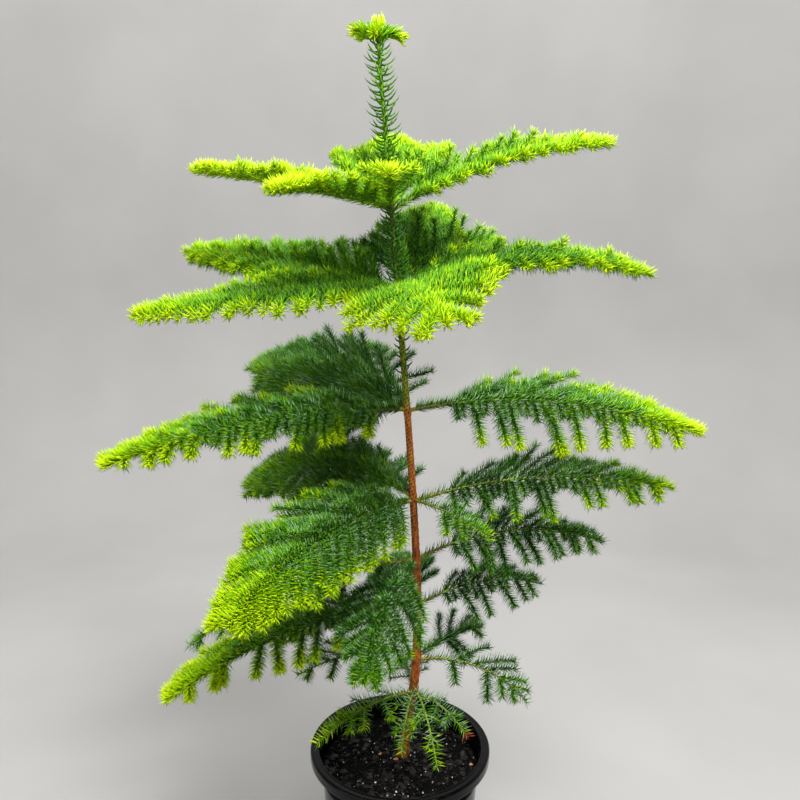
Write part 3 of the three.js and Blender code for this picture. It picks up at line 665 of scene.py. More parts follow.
def grow_bud():
    """Lines of the bud's shoots: five round the stem, rising at one slope and sagging, and one upright."""
    out = np.stack([np.cos(BUD_TURNS), np.sin(BUD_TURNS), np.zeros(SHOOTS)], axis=-1) * np.cos(BUD_RISE)
    direction = np.concatenate([out + UP * np.sin(BUD_RISE), UP[None]])
    root = trunk_centre(np.array([TOP + 5] * SHOOTS + [TOP]))
    return bent_lines(root, direction, BUD_LENGTHS, -UP * BUD_DROOP[:, None])


BUD_LINES = grow_bud()
print("bud shoots:", len(BUD_LINES))

# %% [markdown]
# ## Needles
# A needle is a small awl: thick at its foot, bent forward, with a sharp tip. Round each stem the needles
# sit on a spiral that turns by the golden angle from one to the next, which spreads them evenly with no
# rows. They could be instances of one mesh, but then all would be alike, so each is worked out on its own,
# all at once: old ones as four triangles, new ones as ten, and the large ones on the leader as more, since
# their bend shows.

# %% Needle arrays
GOLDEN_ANGLE = np.radians(137.507764)
NEEDLE_SIDES = np.arange(3) * 2 * np.pi / 3
TURN_SCATTER, LEAN_SCATTER, LENGTH_SCATTER = 0.25, 5, 0.16
FOOT_OPENS, TIP_REACH, SLIMMER = 12, 4, 0.35
Needles = namedtuple("Needles", "foot first second long share stem")


def needles_on(key, lines, lengths, *, density, size, slope, hook, upturn, starts, radius):
    """Needles along many stems. The j-th sits j golden angles round the stem, at an even step along it,
    leans from it by the slope angle (less towards the tip), and has its outer half bent forward by the hook
    angle and, by the upturn, towards the light above."""
    every = np.ones(len(lines))
    given = (density, size, slope, hook, upturn, starts, radius)
    density, size, slope, hook, upturn, starts, radius = [every * value for value in given]
    counts = np.maximum(4, np.round(density * lengths * (1 - starts))).astype(int)
    stem = np.repeat(np.arange(len(lines)), counts)
    order = np.arange(counts.sum()) - np.repeat(np.cumsum(counts) - counts, counts)
    jitter = chance(key, stem, order, 3) - 0.5
    share = starts[stem] + (1 - starts[stem]) * np.clip((order + 0.5 + jitter) / counts[stem], 0, 1)
    behind, middle, ahead = [
        resample(lines[stem], np.clip(share + step, 0, 1)[:, None])[:, 0] for step in (-0.02, 0, 0.02)
    ]
    along = unit(ahead - behind)
    across, over = square_to(along, np.abs(along[:, 2]) > 0.85)
    turn = order * GOLDEN_ANGLE + 2 * np.pi * chance(key, stem, 9)
    turn = turn + TURN_SCATTER * scatter(key, stem, order, 4)
    outward = over * np.sin(turn)[:, None] - across * np.cos(turn)[:, None]
    closing = np.exp(-lengths[stem] * (1 - share) / TIP_REACH)
    lean = slope[stem] * (1 - 0.3 * closing) + LEAN_SCATTER * scatter(key, stem, order, 5)
    first = np.radians(lean + FOOT_OPENS)[:, None]
    second = np.radians(lean - hook[stem])[:, None]
    foot = middle + outward * (0.6 * radius[stem] * (1 - 0.5 * share))[:, None]
    rise = upturn[stem][:, None] * UP
    first = unit(along * np.cos(first) + outward * np.sin(first) + 0.3 * rise)
    second = unit(along * np.cos(second) + outward * np.sin(second) + rise)
    long = size[stem] * (1 - 0.15 * closing) * (1 + LENGTH_SCATTER * scatter(key, stem, order, 6))
    return Needles(foot, first, second, long, share, stem)


def needle_mesh(foot, first, second, long, width, rings):
    """Three-sided awls on a smooth bend: at share t the middle is foot + long * (first * (t - t*t/2) +
    second * t*t/2). Rings of three points stand at even shares, each slimmer, up to one point."""
    across, over = square_to(first, np.abs(first[:, 2]) > 0.9)
    ring = np.cos(NEEDLE_SIDES)[:, None] * across[:, None] + np.sin(NEEDLE_SIDES)[:, None] * over[:, None]
    ring = ring * (width / 2)[:, None, None]
    t = np.arange(rings + 1) / rings
    bend = first[:, None] * (t - t**2 / 2)[:, None] + second[:, None] * (t**2 / 2)[:, None]
    middle = foot[:, None] + bend * long[:, None, None]
    slim = 1 - SLIMMER * t[:-1] ** 2
    skin = middle[:, :-1, None] + ring[:, None] * slim[:, None, None]
    points = np.concatenate([skin.reshape(len(foot), -1, 3), middle[:, -1:]], axis=1)
    a, b, c, tip = 3 * rings - 3 + np.arange(4)
    ends = np.array([[0, 2, 1], [a, b, tip], [b, c, tip], [c, a, tip]])
    return joined(points, np.concatenate([halved(grid_faces(rings, 3)), ends]))


print("triangles of a needle with 1, 2 and 4 rings:", [6 * rings - 2 for rings in (1, 2, 4)])

# %% [markdown]
# ## Where the needles grow, and how old they are
# New growth at the twig tips is lime, last year's needles are mid green, and the oldest ones near the trunk
# are a dull blue-green. So each needle gets a tone from its bough's two numbers and its distance from the
# twig's tip, and the tones are dealt out into plain colours, with a little chance to hide the steps.
# Needles that point down are darkened as painted shade.

# %% How needles differ from bough to bough
THICKENED = [
    "w3_left", "w4_front_left", "w5_front_left", "w5_back_left", "w6_front_left", "w6_back_left",
    "w7_back_left",
]
OPEN_LIMBS = ["w2_right", "w2_left", "w3_right", "w4_right", "w4_back_left", "w5_right", "w5_front_right"]
NEEDLE_SIZE = by_bough({"w1": 12.5, "w3": 11.5, "w4": 11.5}, 12.0)
NEEDLE_SLOPE = by_bough({"w2": 66, "w7": 73, "w8": 72}, 64)
# Needles to a millimetre of twig, and how many times as many the spine has
DENSITY = by_bough({"w1": 1.3, "w4": 2.2, "w5": 2.2, "w7": 1.9, "w8": 1.8}, 2.1)
DENSITY = DENSITY * by_bough({**dict.fromkeys(THICKENED, 1.5), "w1_front_right": 0.65}, 1)
DENSITY = DENSITY / by_bough(dict.fromkeys(FILLED, 1.4), 1)
SPINE_COVER = by_bough({**dict.fromkeys(OPEN_LIMBS, 0.7), "w1": 1.3}, 1.8)
# How much of the way from inner to outer tone a spray has gone at its tip, and the length of the new growth
PALER = {"w7": 0.45, "w8": 0.45, "w3_left": 0.55, "w6_front_left": 0.55, "w6_right": 0.55}
TONE_CLIMB = by_bough(PALER, 0.8) * (OUTER - INNER)
NEW_GROWTH = np.where(YOUNG, 11.0, 16.0)
BRUSH_GROWTH, SPINE_GROWTH, BUD_GROWTH = 12, 24, 15
FACES_UP = 0.1


def inner_tone(bough, u):
    """The tone of the grown needles at the place u along the spray, palest towards its tip."""
    return INNER[bough] + TONE_CLIMB[bough] * u**1.8


def tip_tone(upper, hanging):
    """Each twig's tone at its tip: the bough's outer tone, duller by these numbers at the spray's foot."""
    return OUTER[TWIG_BOUGH] - np.where(TWIG_LIFT > FACES_UP, upper, hanging) * (1 - TWIG_U)


def tone_of(inner, outer, to_tip, reach):
    """The inner tone near the foot, rising to the outer tone over the last stretch before the tip."""
    return lerp(inner, outer, np.exp(-((to_tip / reach) ** 1.5)))


def underneath(needles):
    """How far each needle points down, 0 to 1: the tones darken those under a stem by it, as painted shade.
    """
    return np.clip(-needles.first[:, 2], 0, 1)


print("needles to a millimetre of twig:", DENSITY.min().round(2), "to", DENSITY.max().round(2))

# %% Needles of the twigs
HANGS = TWIG_LIFT < HANGING
BRUSH = HANGS & ~np.array([bough.label in FORWARD for bough in BOUGHS])[TWIG_BOUGH]
SPRAY = scatter(TWIG_BOUGH, TWIG_STATION, 7)
twig_needles = needles_on(
    101, TWIG_LINES, TWIG_LENGTHS, starts=0.04, radius=0.9,
    density=DENSITY[TWIG_BOUGH] * np.where(BRUSH, 1.7, 1),
    size=NEEDLE_SIZE[TWIG_BOUGH] * np.where(BRUSH, 1.05, 1),
    slope=np.where(BRUSH, 78, NEEDLE_SLOPE[TWIG_BOUGH]),
    hook=np.where(BRUSH, 40, 24),
    upturn=np.select([BRUSH, HANGS], [0.1, 0.5], 0.8),
)
inner = inner_tone(TWIG_BOUGH, TWIG_U) + 0.5 * SPRAY + np.where(BRUSH & TWIG_WHOLE, 0.4, 0)
outer = np.where(TWIG_WHOLE, tip_tone(2.0, 0.4) + 0.5 * SPRAY, inner + 0.8)
reach = np.where(BRUSH, BRUSH_GROWTH, NEW_GROWTH[TWIG_BOUGH])
stem = twig_needles.stem
to_tip = TWIG_LENGTHS[stem] * (1 - twig_needles.share)
# Needles that point down are darkened as painted shade.
twig_tones = tone_of(inner[stem], outer[stem], to_tip, reach[stem]) - 0.7 * underneath(twig_needles)
print("needles on twigs:", len(twig_tones))

# %% Rosettes at the twig tips
ROSETTE = 10
tip_lines = resample(TWIG_LINES, np.broadcast_to(np.linspace(0.9, 1, 5), (len(TWIG_LINES), 5)))
tip_needles = needles_on(
    505, tip_lines, TWIG_LENGTHS / 10, starts=0.2, radius=0.9,
    density=ROSETTE * 10 / TWIG_LENGTHS,
    size=NEEDLE_SIZE[TWIG_BOUGH] * np.where(TWIG_WHOLE, 0.7, 0.5),
    slope=52, hook=10, upturn=0.1,
)
rosette = np.where(TWIG_WHOLE, tip_tone(1.4, 0.2), INNER[TWIG_BOUGH] + 0.8) + 0.4 * SPRAY
tip_tones = rosette[tip_needles.stem]
print("needles in rosettes:", len(tip_tones))

# %% Needles of the spines
spine_needles = needles_on(
    202, SPINES, LENGTHS, starts=0.1 * BARE / LENGTHS, radius=LIMB_RADIUS,
    density=DENSITY * SPINE_COVER, size=NEEDLE_SIZE, slope=62, hook=24, upturn=0.7,
)
thinned = (underneath(spine_needles) > 0.35) & YOUNG[spine_needles.stem]
kept = ~thinned | (chance(707, np.arange(len(thinned))) < 0.55)
spine_needles = Needles(*[part[kept] for part in spine_needles])
stem, share = spine_needles.stem, spine_needles.share
spine_tones = tone_of(inner_tone(stem, share), OUTER[stem], LENGTHS[stem] * (1 - share), SPINE_GROWTH)
# Spine needles that point down are darkened as painted shade.
spine_tones += 0.4 - 1.2 * underneath(spine_needles)
print("needles on spines:", len(spine_tones))

# %% Needles of the green upper stem and of the bud
STEM_SPANS = np.array([[604, 680], [680, 782], [782, 932]])
STEM_LINES = trunk_centre(np.linspace(STEM_SPANS[:, 0], STEM_SPANS[:, 1], 33, axis=1))
stem_needles = needles_on(
    303, STEM_LINES, STEM_SPANS[:, 1] - STEM_SPANS[:, 0], starts=0, radius=2.6,
    density=np.array([0.5, 1.0, 0.9]), size=np.array([11.0, 18.0, 20.0]), slope=np.array([74, 82, 84]),
    hook=46, upturn=0.25,
)
leader_share = np.where(stem_needles.stem == 2, stem_needles.share, 0)
stem_tones = np.array([0.6, 1.5, 2.0])[stem_needles.stem] + leader_share
bud_needles = needles_on(
    404, BUD_LINES, BUD_LENGTHS, starts=0.08, radius=1.4,
    density=np.array([3.4] * SHOOTS + [7.5]), size=np.array([11.5] * SHOOTS + [14]),
    slope=np.array([46.0] * SHOOTS + [42.0]), hook=24, upturn=0.3,
)
to_tip = BUD_LENGTHS[bud_needles.stem] * (1 - bud_needles.share)
bud_tones = tone_of(3.0, 6.3, to_tip, BUD_GROWTH)
print("needles on the stem:", len(stem_tones), " on the bud:", len(bud_tones))

# %% [markdown]
# ## Sprays by colour
# All needles go into one long list, each with the imported node that it stands for, and the list is split
# into one joined piece for each of nine plain colours, with no picture. A joined mesh draws far faster than
# a hundred thousand small objects. Seven colours follow the tone; one is the brown of a dead tip, and one
# a pale green painted on old needles that face the light, as a painted sheen.

# %% One list of needles
EVERY = [twig_needles, spine_needles, tip_needles, stem_needles, bud_needles]
FEET, FIRSTS, SECONDS, LONGS, SHARES, _ = [np.concatenate(parts) for parts in zip(*EVERY)]
TONES = np.concatenate([twig_tones, spine_tones, tip_tones, stem_tones, bud_tones])
FOLIAGE = [f"foliage_{bough.label}" for bough in BOUGHS]
STANDS = FOLIAGE + ["upper_stem_needles", "leader_needles", "leader_tuft"]
UPPER_STEM, LEADER, TUFT = len(FOLIAGE) + np.arange(3)
NODE_OF = np.concatenate([
    TWIG_BOUGH[twig_needles.stem], spine_needles.stem, TWIG_BOUGH[tip_needles.stem],
    np.array([UPPER_STEM, UPPER_STEM, LEADER])[stem_needles.stem], np.full(len(bud_tones), TUFT),
])
ON_BOUGH = NODE_OF < UPPER_STEM
LOWEST, OLD = [
    np.append(boughs, [False] * 3)[NODE_OF] for boughs in (by_bough({"w1": True}, False), ~YOUNG)
]
ON_BRUSH = np.zeros(len(TONES), dtype=bool)
ON_BRUSH[:len(twig_tones)] = BRUSH[twig_needles.stem]
ON_SPINE = np.repeat(np.arange(len(EVERY)), [len(part.foot) for part in EVERY]) == 1
WIDTHS = np.select([LOWEST, ON_BRUSH, OLD, ON_BOUGH, NODE_OF < TUFT], [1.05, 1.5, 1.3, 1.45, 2.3], 1.8)
print("needles in the list:", len(TONES))

# %% Colours of the needles
COLOURS = ["deep", "old", "mid", "leaf", "fresh", "bright", "lime", "dead", "painted_sheen"]
NEW_COLOURS = ("fresh", "bright", "lime")
DEAD_FROM = 0.94
LIT_GAIN, UNLIT_LOSS, UNEVEN = 1.1, 0.4, 0.8


def deal_colours():
    """A colour's number for each needle: its tone, raised as painted light where chance and its slope let
    it catch light and lowered as painted shade elsewhere, plus a little chance. Some lit old needles get
    the pale painted sheen colour, and one tip is dead."""
    every = np.arange(len(TONES))
    luck = chance(606, every)
    # Needles picked as lit get painted light, a brighter colour; the others get painted shade, a darker
    # one.
    lit = (luck > np.select([LOWEST, ON_BRUSH], [0.5, 0.6], 0.7)) & (FIRSTS[:, 2] > -0.5) & ON_BOUGH
    uneven = np.where(lit, LIT_GAIN, -UNLIT_LOSS) + UNEVEN * (chance(505, every) - 0.5)
    kind = np.clip(np.floor(TONES + 0.5 + uneven), 0, COLOURS.index("lime")).astype(int)
    # A pale painted sheen on some lit old needles.
    painted_sheen = lit & OLD & (luck > np.where(LOWEST, 0.5, 0.84)) & (kind < COLOURS.index("bright"))
    kind[painted_sheen] = COLOURS.index("painted_sheen")
    dead = ON_SPINE & (NODE_OF == FOLIAGE.index("foliage_w1_right")) & (SHARES > DEAD_FROM)
    kind[dead] = COLOURS.index("dead")
    return kind


KIND = deal_colours()
print("needles by colour:", dict(zip(COLOURS, np.bincount(KIND).tolist())))

# %% Joined needle pieces
MOST_TRIANGLES = 190000
STEM_RINGS = 4
NEEDLE_PIECES = {colour: [] for colour in COLOURS}


def join_needles(name, some, rings, colour):
    """One joined piece of the chosen needles, attached to the root, with the nodes that it stands for
    hidden.
    """
    points, faces = needle_mesh(FEET[some], FIRSTS[some], SECONDS[some], LONGS[some], WIDTHS[some], rings)
    slot = "young_needles" if colour in NEW_COLOURS else "old_needles"
    nodes = [STANDS[k] for k in np.unique(NODE_OF[some])]
    NEEDLE_PIECES[colour].append(put_mesh(name, points, faces, slot, nodes))


for number, colour in enumerate(COLOURS):
    on_stem = np.flatnonzero((KIND == number) & ~ON_BOUGH)
    if len(on_stem):
        join_needles(f"stem_needles_{colour}", on_stem, STEM_RINGS, colour)
    on_boughs = np.flatnonzero((KIND == number) & ON_BOUGH)
    rings = 2 if colour in ("bright", "lime", "dead") else 1
    most = MOST_TRIANGLES // (6 * rings - 2)
    for part, some in enumerate(np.array_split(on_boughs, len(on_boughs) // most + 1)):
        join_needles(f"needles_{colour}_{part + 1}", some, rings, colour)
triangles = sum(len(piece.data.polygons) for pieces in NEEDLE_PIECES.values() for piece in pieces)
print("needles in all:", len(TONES), "with", triangles, "triangles")

# %% [markdown]
# ## Needle finish
# Needles are waxy and fairly smooth; on some old needles that catch the sky a pale sheen is painted as a
# colour of its own. Each tone is a plain colour with a slow drift between two near greens, so that one
# spray is a shade warmer than the next.

# %% Needle materials
NEEDLE_PAINT = {
    "deep": ("1E4214", "305826"),
    "old": ("2A5E0E", "3E741C"),
    "mid": ("3E7C0A", "548F16"),
    "leaf": ("5A9E08", "70B012"),
    "fresh": ("82B806", "98C610"),
    "bright": ("A8D406", "BADE10"),
    "lime": ("C8E80A", "D8F01E"),
    "dead": ("9A4428", "BC6444"),
    # The pale green of the painted sheen on old needles that face the light.
    "painted_sheen": ("86B47C", "A6CC98"),
}
for colour, pieces in NEEDLE_PIECES.items():
    gloss = 0.1 if colour in NEW_COLOURS else 0.22
    two_tone("needle_" + colour, pieces, NEEDLE_PAINT[colour], 60, (0.36, 0.5), gloss)
print("needle colours:", len(NEEDLE_PIECES))

# %% [markdown]
# ## Twig stems
# Under its needles a twig is a green stem, about two millimetres thick at the fork and half that at the
# tip. A tapering tube along the twig's own line is enough, since needles cover most of it. The stems are
# dealt into three pieces by age, each in a plain colour: yellow-green when new, duller when old.

# %% Twig stems
TWIG_RADIUS = 0.95
TWIG_PAINT = {"old": ("5E7A20", "86A02E"), "grown": ("7C9C22", "A4BE34"), "new": ("A8CC24", "CADC40")}
tube_lines = np.concatenate([TWIG_LINES, BUD_LINES])[:, ::4]
tube_radii = TWIG_RADIUS * lerp(1, 0.5, np.linspace(0, 1, tube_lines.shape[1]))[None]
tube_node = np.append(TWIG_BOUGH, np.full(len(BUD_LINES), TUFT))
tube_tone = np.append(OUTER[TWIG_BOUGH] * (0.4 + 0.6 * TWIG_U), np.full(len(BUD_LINES), 6))
tube_age = np.clip(tube_tone // 2, 0, 2)
for number, (age, tones) in enumerate(TWIG_PAINT.items()):
    some = tube_age == number
    nodes = [STANDS[k] for k in np.unique(tube_node[some])]
    piece = put_mesh(f"twig_stems_{age}", *tubes(tube_lines[some], tube_radii, 4), "young_needles", nodes)
    two_tone(f"twig_{age}", [piece], tones, 45, (0.42, 0.6))
print("twig stems:", len(tube_lines), "in", len(TWIG_PAINT), "ages")

# %% [markdown]
# ## Trunk with bark
# The stem of this tree is covered with the feet of its old needles: small scales on two families of
# spirals, with a dark scar on each. The relief is worked out from those spirals, so it runs round without a
# seam: five spirals climb one way and eight the other, and each scale is where two of them cross.

# %% Trunk
TRUNK_ROWS, TRUNK_COLUMNS = 620, 40
SCALE_PITCH, SCALE_RELIEF = 8.0, 0.62
WHORL_SWELL, SWELL_REACH = 0.7, 5


def scales(turn, along, pitch):
    """Relief and scar of the needle feet. Two spiral counts, a = 5 turns + along/pitch and b = 8 turns -
    along/pitch, give each cell; relief is cos times cos across it, the scar a spot in its upper half."""
    a = 5 * turn + along / pitch
    b = 8 * turn - along / pitch
    x = a - np.floor(a) - 0.5
    y = b - np.floor(b) - 0.5
    relief = np.clip(np.cos(np.pi * x) * np.cos(np.pi * y), 0, 1) ** 0.7
    scar = np.exp(-((x - y) ** 2 / 0.14 + (x + y - 0.2) ** 2 / 0.36))
    return relief, scar


def trunk_surface():
    """Trunk skin: the centre line plus radius times the turn's direction; the radius swells at each whorl
    and carries the scales, which fade out on the smooth green top."""
    height = np.linspace(FOOT, TOP, TRUNK_ROWS)[:, None]
    turn = np.linspace(0, 1, TRUNK_COLUMNS, endpoint=False)[None, :]
    relief, scar = scales(turn, height, SCALE_PITCH)
    swell = sum(WHORL_SWELL * np.exp(-((height - tier[0]) / SWELL_REACH) ** 2) for tier in WHORLS.values())
    rough = np.clip((900 - height) / 250, 0.25, 1)
    radius = trunk_radius(height) - 0.15 + swell + SCALE_RELIEF * rough * (relief - 0.5)
    around = np.stack([np.cos(2 * np.pi * turn), np.sin(2 * np.pi * turn), np.zeros_like(turn)], axis=-1)
    return trunk_centre(height) + radius[..., None] * around, relief, scar


trunk_skin, trunk_relief, trunk_scar = trunk_surface()
cap_points = trunk_centre(np.array([FOOT, TOP + 1.2]))
trunk_bark = put_mesh(
    "trunk_bark", np.concatenate([trunk_skin.reshape(-1, 3), cap_points]),
    capped_faces(TRUNK_ROWS, TRUNK_COLUMNS), "bark", ["trunk"],
    relief=np.append(trunk_relief.ravel(), [0.5, 0.5]), scar=np.append(trunk_scar.ravel(), [0, 0]))

# %% [markdown]
# ## Bark finish
# Low down the bark is a warm red brown, above the sixth whorl it is still green under the scales. A ramp
# over the height gives that change. The relief, kept as an attribute on the mesh, darkens the grooves as
# painted shade and pales the crests, partly the scales' own pale flecks and partly painted highlight; the
# scars, a second attribute, add dark spots.

# %% Bark material
BARK_ZONES = [
    ("6A2606", "C06A24", 0, 0.1),
    ("A8541A", "D88E3C", 0.44, 0.50),
    ("647408", "92A024", 0.566, 0.58),
    ("3A5E10", "56801C", 0.66, 0.70),
    ("5A9A14", "8AC82C", 0.78, 0.81),
]
# The groove colour is painted shade in the bark's grooves; the crest colour is partly the scales' pale
# flecks and partly painted highlight.
GROOVE_SHADE, CREST_HIGHLIGHT, SCAR = "5E3010", "EBC890", "241408"
finish = Finish("trunk_bark", specular=0.2)
height = finish.height()
colour = None
for base, lighter, low, high in BARK_ZONES:
    tone, mask = finish.mottle(base, lighter, 330, (1, 1, 0.35))
    colour = finish.blend(finish.spread(height, low, high), colour, tone) if colour else tone
relief = finish.attribute("relief")
# Painted shade: the grooves between the scales darken.
colour = finish.blend(finish.spread(relief, 0.1, 0.5, 0.45, 0), colour, GROOVE_SHADE)
# The crests lighten: partly the scales' pale flecks, partly painted highlight.
colour = finish.blend(finish.spread(relief, 0.8, 1, 0, 0.2), colour, CREST_HIGHLIGHT)
scarred = finish.blend(finish.spread(finish.attribute("scar"), 0.42, 0.7, 0, 0.95), colour, SCAR)
colour = finish.blend(finish.spread(height, 0.36, 0.46, 0.15, 1), colour, scarred)
finish.coat(colour, mask, 0.48, 0.7)
finish.bump(mask, 0.35, 0.0006)
finish.dress(trunk_bark)
print("bark zones:", len(BARK_ZONES))

# %% [markdown]
# ## Bough limbs
# Each limb is a tapering tube on its spine, sunk a little into the trunk so that no gap shows, with finer
# scales than the trunk. The feet of old limbs are brown and their outer parts green, so feet, old limbs and
# young limbs are three pieces with a finish each.

# %% Bough limbs
LIMB_ROWS, LIMB_SIDES = 64, 10
FOOT_SHARE = 0.12
SUNK = 4.5


def limb_mesh(numbers, low, high):
    """Limbs of the given boughs between two shares of their length: tubes on the spines, the lower end sunk
    back, radius falling to 0.42 of its root value at the tip, with a small collar at the trunk."""
    share = np.linspace(low, high, LIMB_ROWS)
    lines = resample(SPINES[numbers], np.broadcast_to(share, (len(numbers), LIMB_ROWS)))
    lines[:, 0] -= unit(lines[:, 1] - lines[:, 0]) * SUNK
    radii = LIMB_RADIUS[numbers][:, None] * (lerp(1, 0.42, share) * (1 + 0.35 * np.exp(-share * 14)))[None]
    points, faces = tubes(lines, radii, LIMB_SIDES)
    turn = np.arange(LIMB_SIDES)[None, :] / LIMB_SIDES
    relief, _ = scales(turn, share[:, None] * 30, 1.0)
    return points, faces, np.tile(np.append(relief.ravel(), [0.5, 0.5]), len(numbers))


LIMBS = {
    "bough_feet": (~YOUNG, 0, FOOT_SHARE, "76781E", "A0962C"),
    "bough_limbs_old": (~YOUNG, FOOT_SHARE, 1, "76901E", "A6B838"),
    "bough_limbs_young": (YOUNG, 0, 1, "7A9C22", "AAC63A"),
}
for name, (which, low, high, dark, light) in LIMBS.items():
    numbers = np.flatnonzero(which)
    points, faces, relief = limb_mesh(numbers, low, high)
    has_limb = [f"bough_{BOUGHS[k].label}" for k in numbers if f"bough_{BOUGHS[k].label}" in NODES]
    nodes = has_limb or [FOLIAGE[k] for k in numbers]
    piece = put_mesh(name, points, faces, "bark", nodes, relief=relief)
    finish = Finish(name, specular=0.4)
    tone, mask = finish.mottle(dark, light, 160)
    # The grooves between the limb's scales are darkened as painted shade.
    groove_shade = finish.spread(finish.attribute("relief"), 0.1, 0.6, 0.5, 0)
    finish.coat(finish.blend(groove_shade, tone, "3A3A12"), mask, 0.45, 0.65)
    finish.bump(mask, 0.3, 0.0004)
    finish.dress(piece)
print("limbs:", len(BOUGHS), "in", len(LIMBS), "pieces")

# %% [markdown]
# ## The pot
# A nursery pot is one moulded shell of black plastic: a tapered wall, a flat flange with a turned-down
# band, and a floor with drain holes. Its section is drawn once as a profile and turned round the axis; the
# holes are then cut with a Boolean, since a turned grid can't have them.

# %% Pot
POT_COLUMNS = 160


def arc(centre, radius, start, stop, count):
    """Points on a circle from one angle to another, degrees, as (out, up)."""
    angle = np.radians(np.linspace(start, stop, count))
    return np.stack([centre[0] + radius * np.cos(angle), centre[1] + radius * np.sin(angle)], axis=-1)


def straight(first, second, count):
    """Points evenly along a straight line, both ends included."""
    first, second = np.array([first, second], dtype=float)
    return lerp(first, second, np.linspace(0, 1, count)[:, None])


def turned(profile, columns):
    """A profile of (out, up) points turned round the Z axis, as rows of points."""
    turn = np.linspace(0, 2 * np.pi, columns, endpoint=False)[None, :]
    out, up = profile[:, :1], profile[:, 1:]
    return np.stack([out * np.cos(turn), out * np.sin(turn), up + 0 * turn], axis=-1)


# The section: from the middle of the underside out, up the wall, over the rim and down inside
POT_PROFILE = np.concatenate([
    straight((0.001, 0), (72, 0), 8),
    straight((72.4, 0.05), (74.8, 2.6), 4),
    straight((75, 3.2), (88.2, 174.6), 24),
    arc((89.2, 175.4), 1.0, 180, 90, 4),
    straight((89.8, 176.4), (95.0, 177.6), 4),
    arc((96.2, 180.2), 1.2, 190, 270, 4),
    straight((96.6, 179.0), (98.6, 179.0), 2),
    arc((98.6, 180.4), 1.4, -80, 0, 5),
    straight((100, 181), (100, 187.6), 4),
    arc((97.6, 187.6), 2.4, 6, 88, 7),
    straight((97.2, 190), (92.8, 189.6), 4),
    arc((91.6, 188.6), 1.4, 70, 180, 6),
    straight((90.15, 188.0), (90.0, 184.0), 3),
    straight((88.6, 180), (73.2, 4.6), 24),
    straight((72.2, 3.2), (0.001, 3.0), 8),
])
pot_points = turned(POT_PROFILE, POT_COLUMNS).reshape(-1, 3)
pot_faces = grid_faces(len(POT_PROFILE), POT_COLUMNS)
pot_shell = put_mesh("pot_shell", pot_points, pot_faces, "pot_plastic", ["pot"])

# %% Drain holes and closed poles
HOLE_CIRCLE, HOLE_RADIUS = 48, 7.0
SHARP_EDGE = np.radians(40)


def close_poles(piece):
    """Merges each ring that has shrunk to the axis into one point."""
    work = bmesh.new()
    work.from_mesh(piece.data)
    bmesh.ops.remove_doubles(work, verts=work.verts, dist=1e-5)
    bmesh.ops.recalc_face_normals(work, faces=work.faces)
    work.to_mesh(piece.data)
    work.free()


def cut_away(piece, points, faces):
    """Cuts a closed mesh out of a piece with a Boolean, and leaves neither modifier nor cutter behind."""
    mesh = bpy.data.meshes.new("cutter")
    mesh.from_pydata((points * MM).tolist(), [], faces.tolist())
    cutter = bpy.data.objects.new("cutter", mesh)
    bpy.context.scene.collection.objects.link(cutter)
    cut = piece.modifiers.new("cut", "BOOLEAN")
    cut.operation = "DIFFERENCE"
    cut.object = cutter
    cut.solver = "EXACT"
    bpy.context.view_layer.update()
    piece.data = bpy.data.meshes.new_from_object(piece.evaluated_get(bpy.context.evaluated_depsgraph_get()))
    piece.modifiers.clear()
    bpy.data.objects.remove(cutter)


close_poles(pot_shell)
spots = np.radians(45 + 90 * np.arange(4))
middles = HOLE_CIRCLE * np.stack([np.cos(spots), np.sin(spots), np.zeros(4)], axis=-1)
rods = middles[:, None] + UP * np.array([-4.0, 2.0, 9.0])[:, None]
cut_away(pot_shell, *tubes(rods, HOLE_RADIUS, 32))
drilled = pot_shell.data
drilled.polygons.foreach_set("use_smooth", np.ones(len(drilled.polygons), dtype=bool))
drilled.set_sharp_from_angle(angle=SHARP_EDGE)
print("pot faces after the drain holes:", len(drilled.polygons))

# %% [markdown]
# ## Black plastic
# The pot is black but not empty of light: moulded plastic has a soft gloss, faint upright streaks from the
# mould, and a little dust. Stretching the mottle along Z gives the streaks; its mask moves the roughness.

# %% Pot material
finish = Finish("pot_black_plastic", specular=0.17)
streak, streak_mask = finish.mottle("020203", "060607", 90, (1, 1, 0.05))
_, dust_mask = finish.mottle("000000", "FFFFFF", 260)
dusty = finish.blend(finish.spread(dust_mask, 0.75, 1, 0, 0.2), streak, "181716")
finish.coat(dusty, streak_mask, 0.12, 0.24)
finish.bump(dust_mask, 0.12, 0.0003)
finish.dress(pot_shell)
print("pot finish:", finish.material.name)

# %% [markdown]
# ## Potting mix
# The mix is a lumpy bed of composted bark, almost black when damp. The bed itself is a disc whose height is
# a sum of waves of chance; loose crumbs, bark chips and white perlite lie on it as small faceted lumps.

# %% Soil bed
BED_RINGS, BED_COLUMNS = 90, 240
SOIL_LEVEL = 168.0
BED_WAVES = [(5, 1.1), (9, 0.8), (17, 0.45), (31, 0.28)]
BED_SPAN, BED_EDGE, DIP_FROM = 130, 89, 77


def lattice_noise(x, y, size, key):
    """Smooth chance on a square lattice: the four corner values mixed by smoothed shares of the cell."""
    u, v = x / size + 500.0, y / size + 500.0
    i, j = np.floor(u).astype(int), np.floor(v).astype(int)
    s, t = u - i, v - j
    s, t = s * s * (3 - 2 * s), t * t * (3 - 2 * t)
    low = lerp(chance(key, i, j), chance(key, i + 1, j), s)
    high = lerp(chance(key, i, j + 1), chance(key, i + 1, j + 1), s)
    return lerp(low, high, t) - 0.5


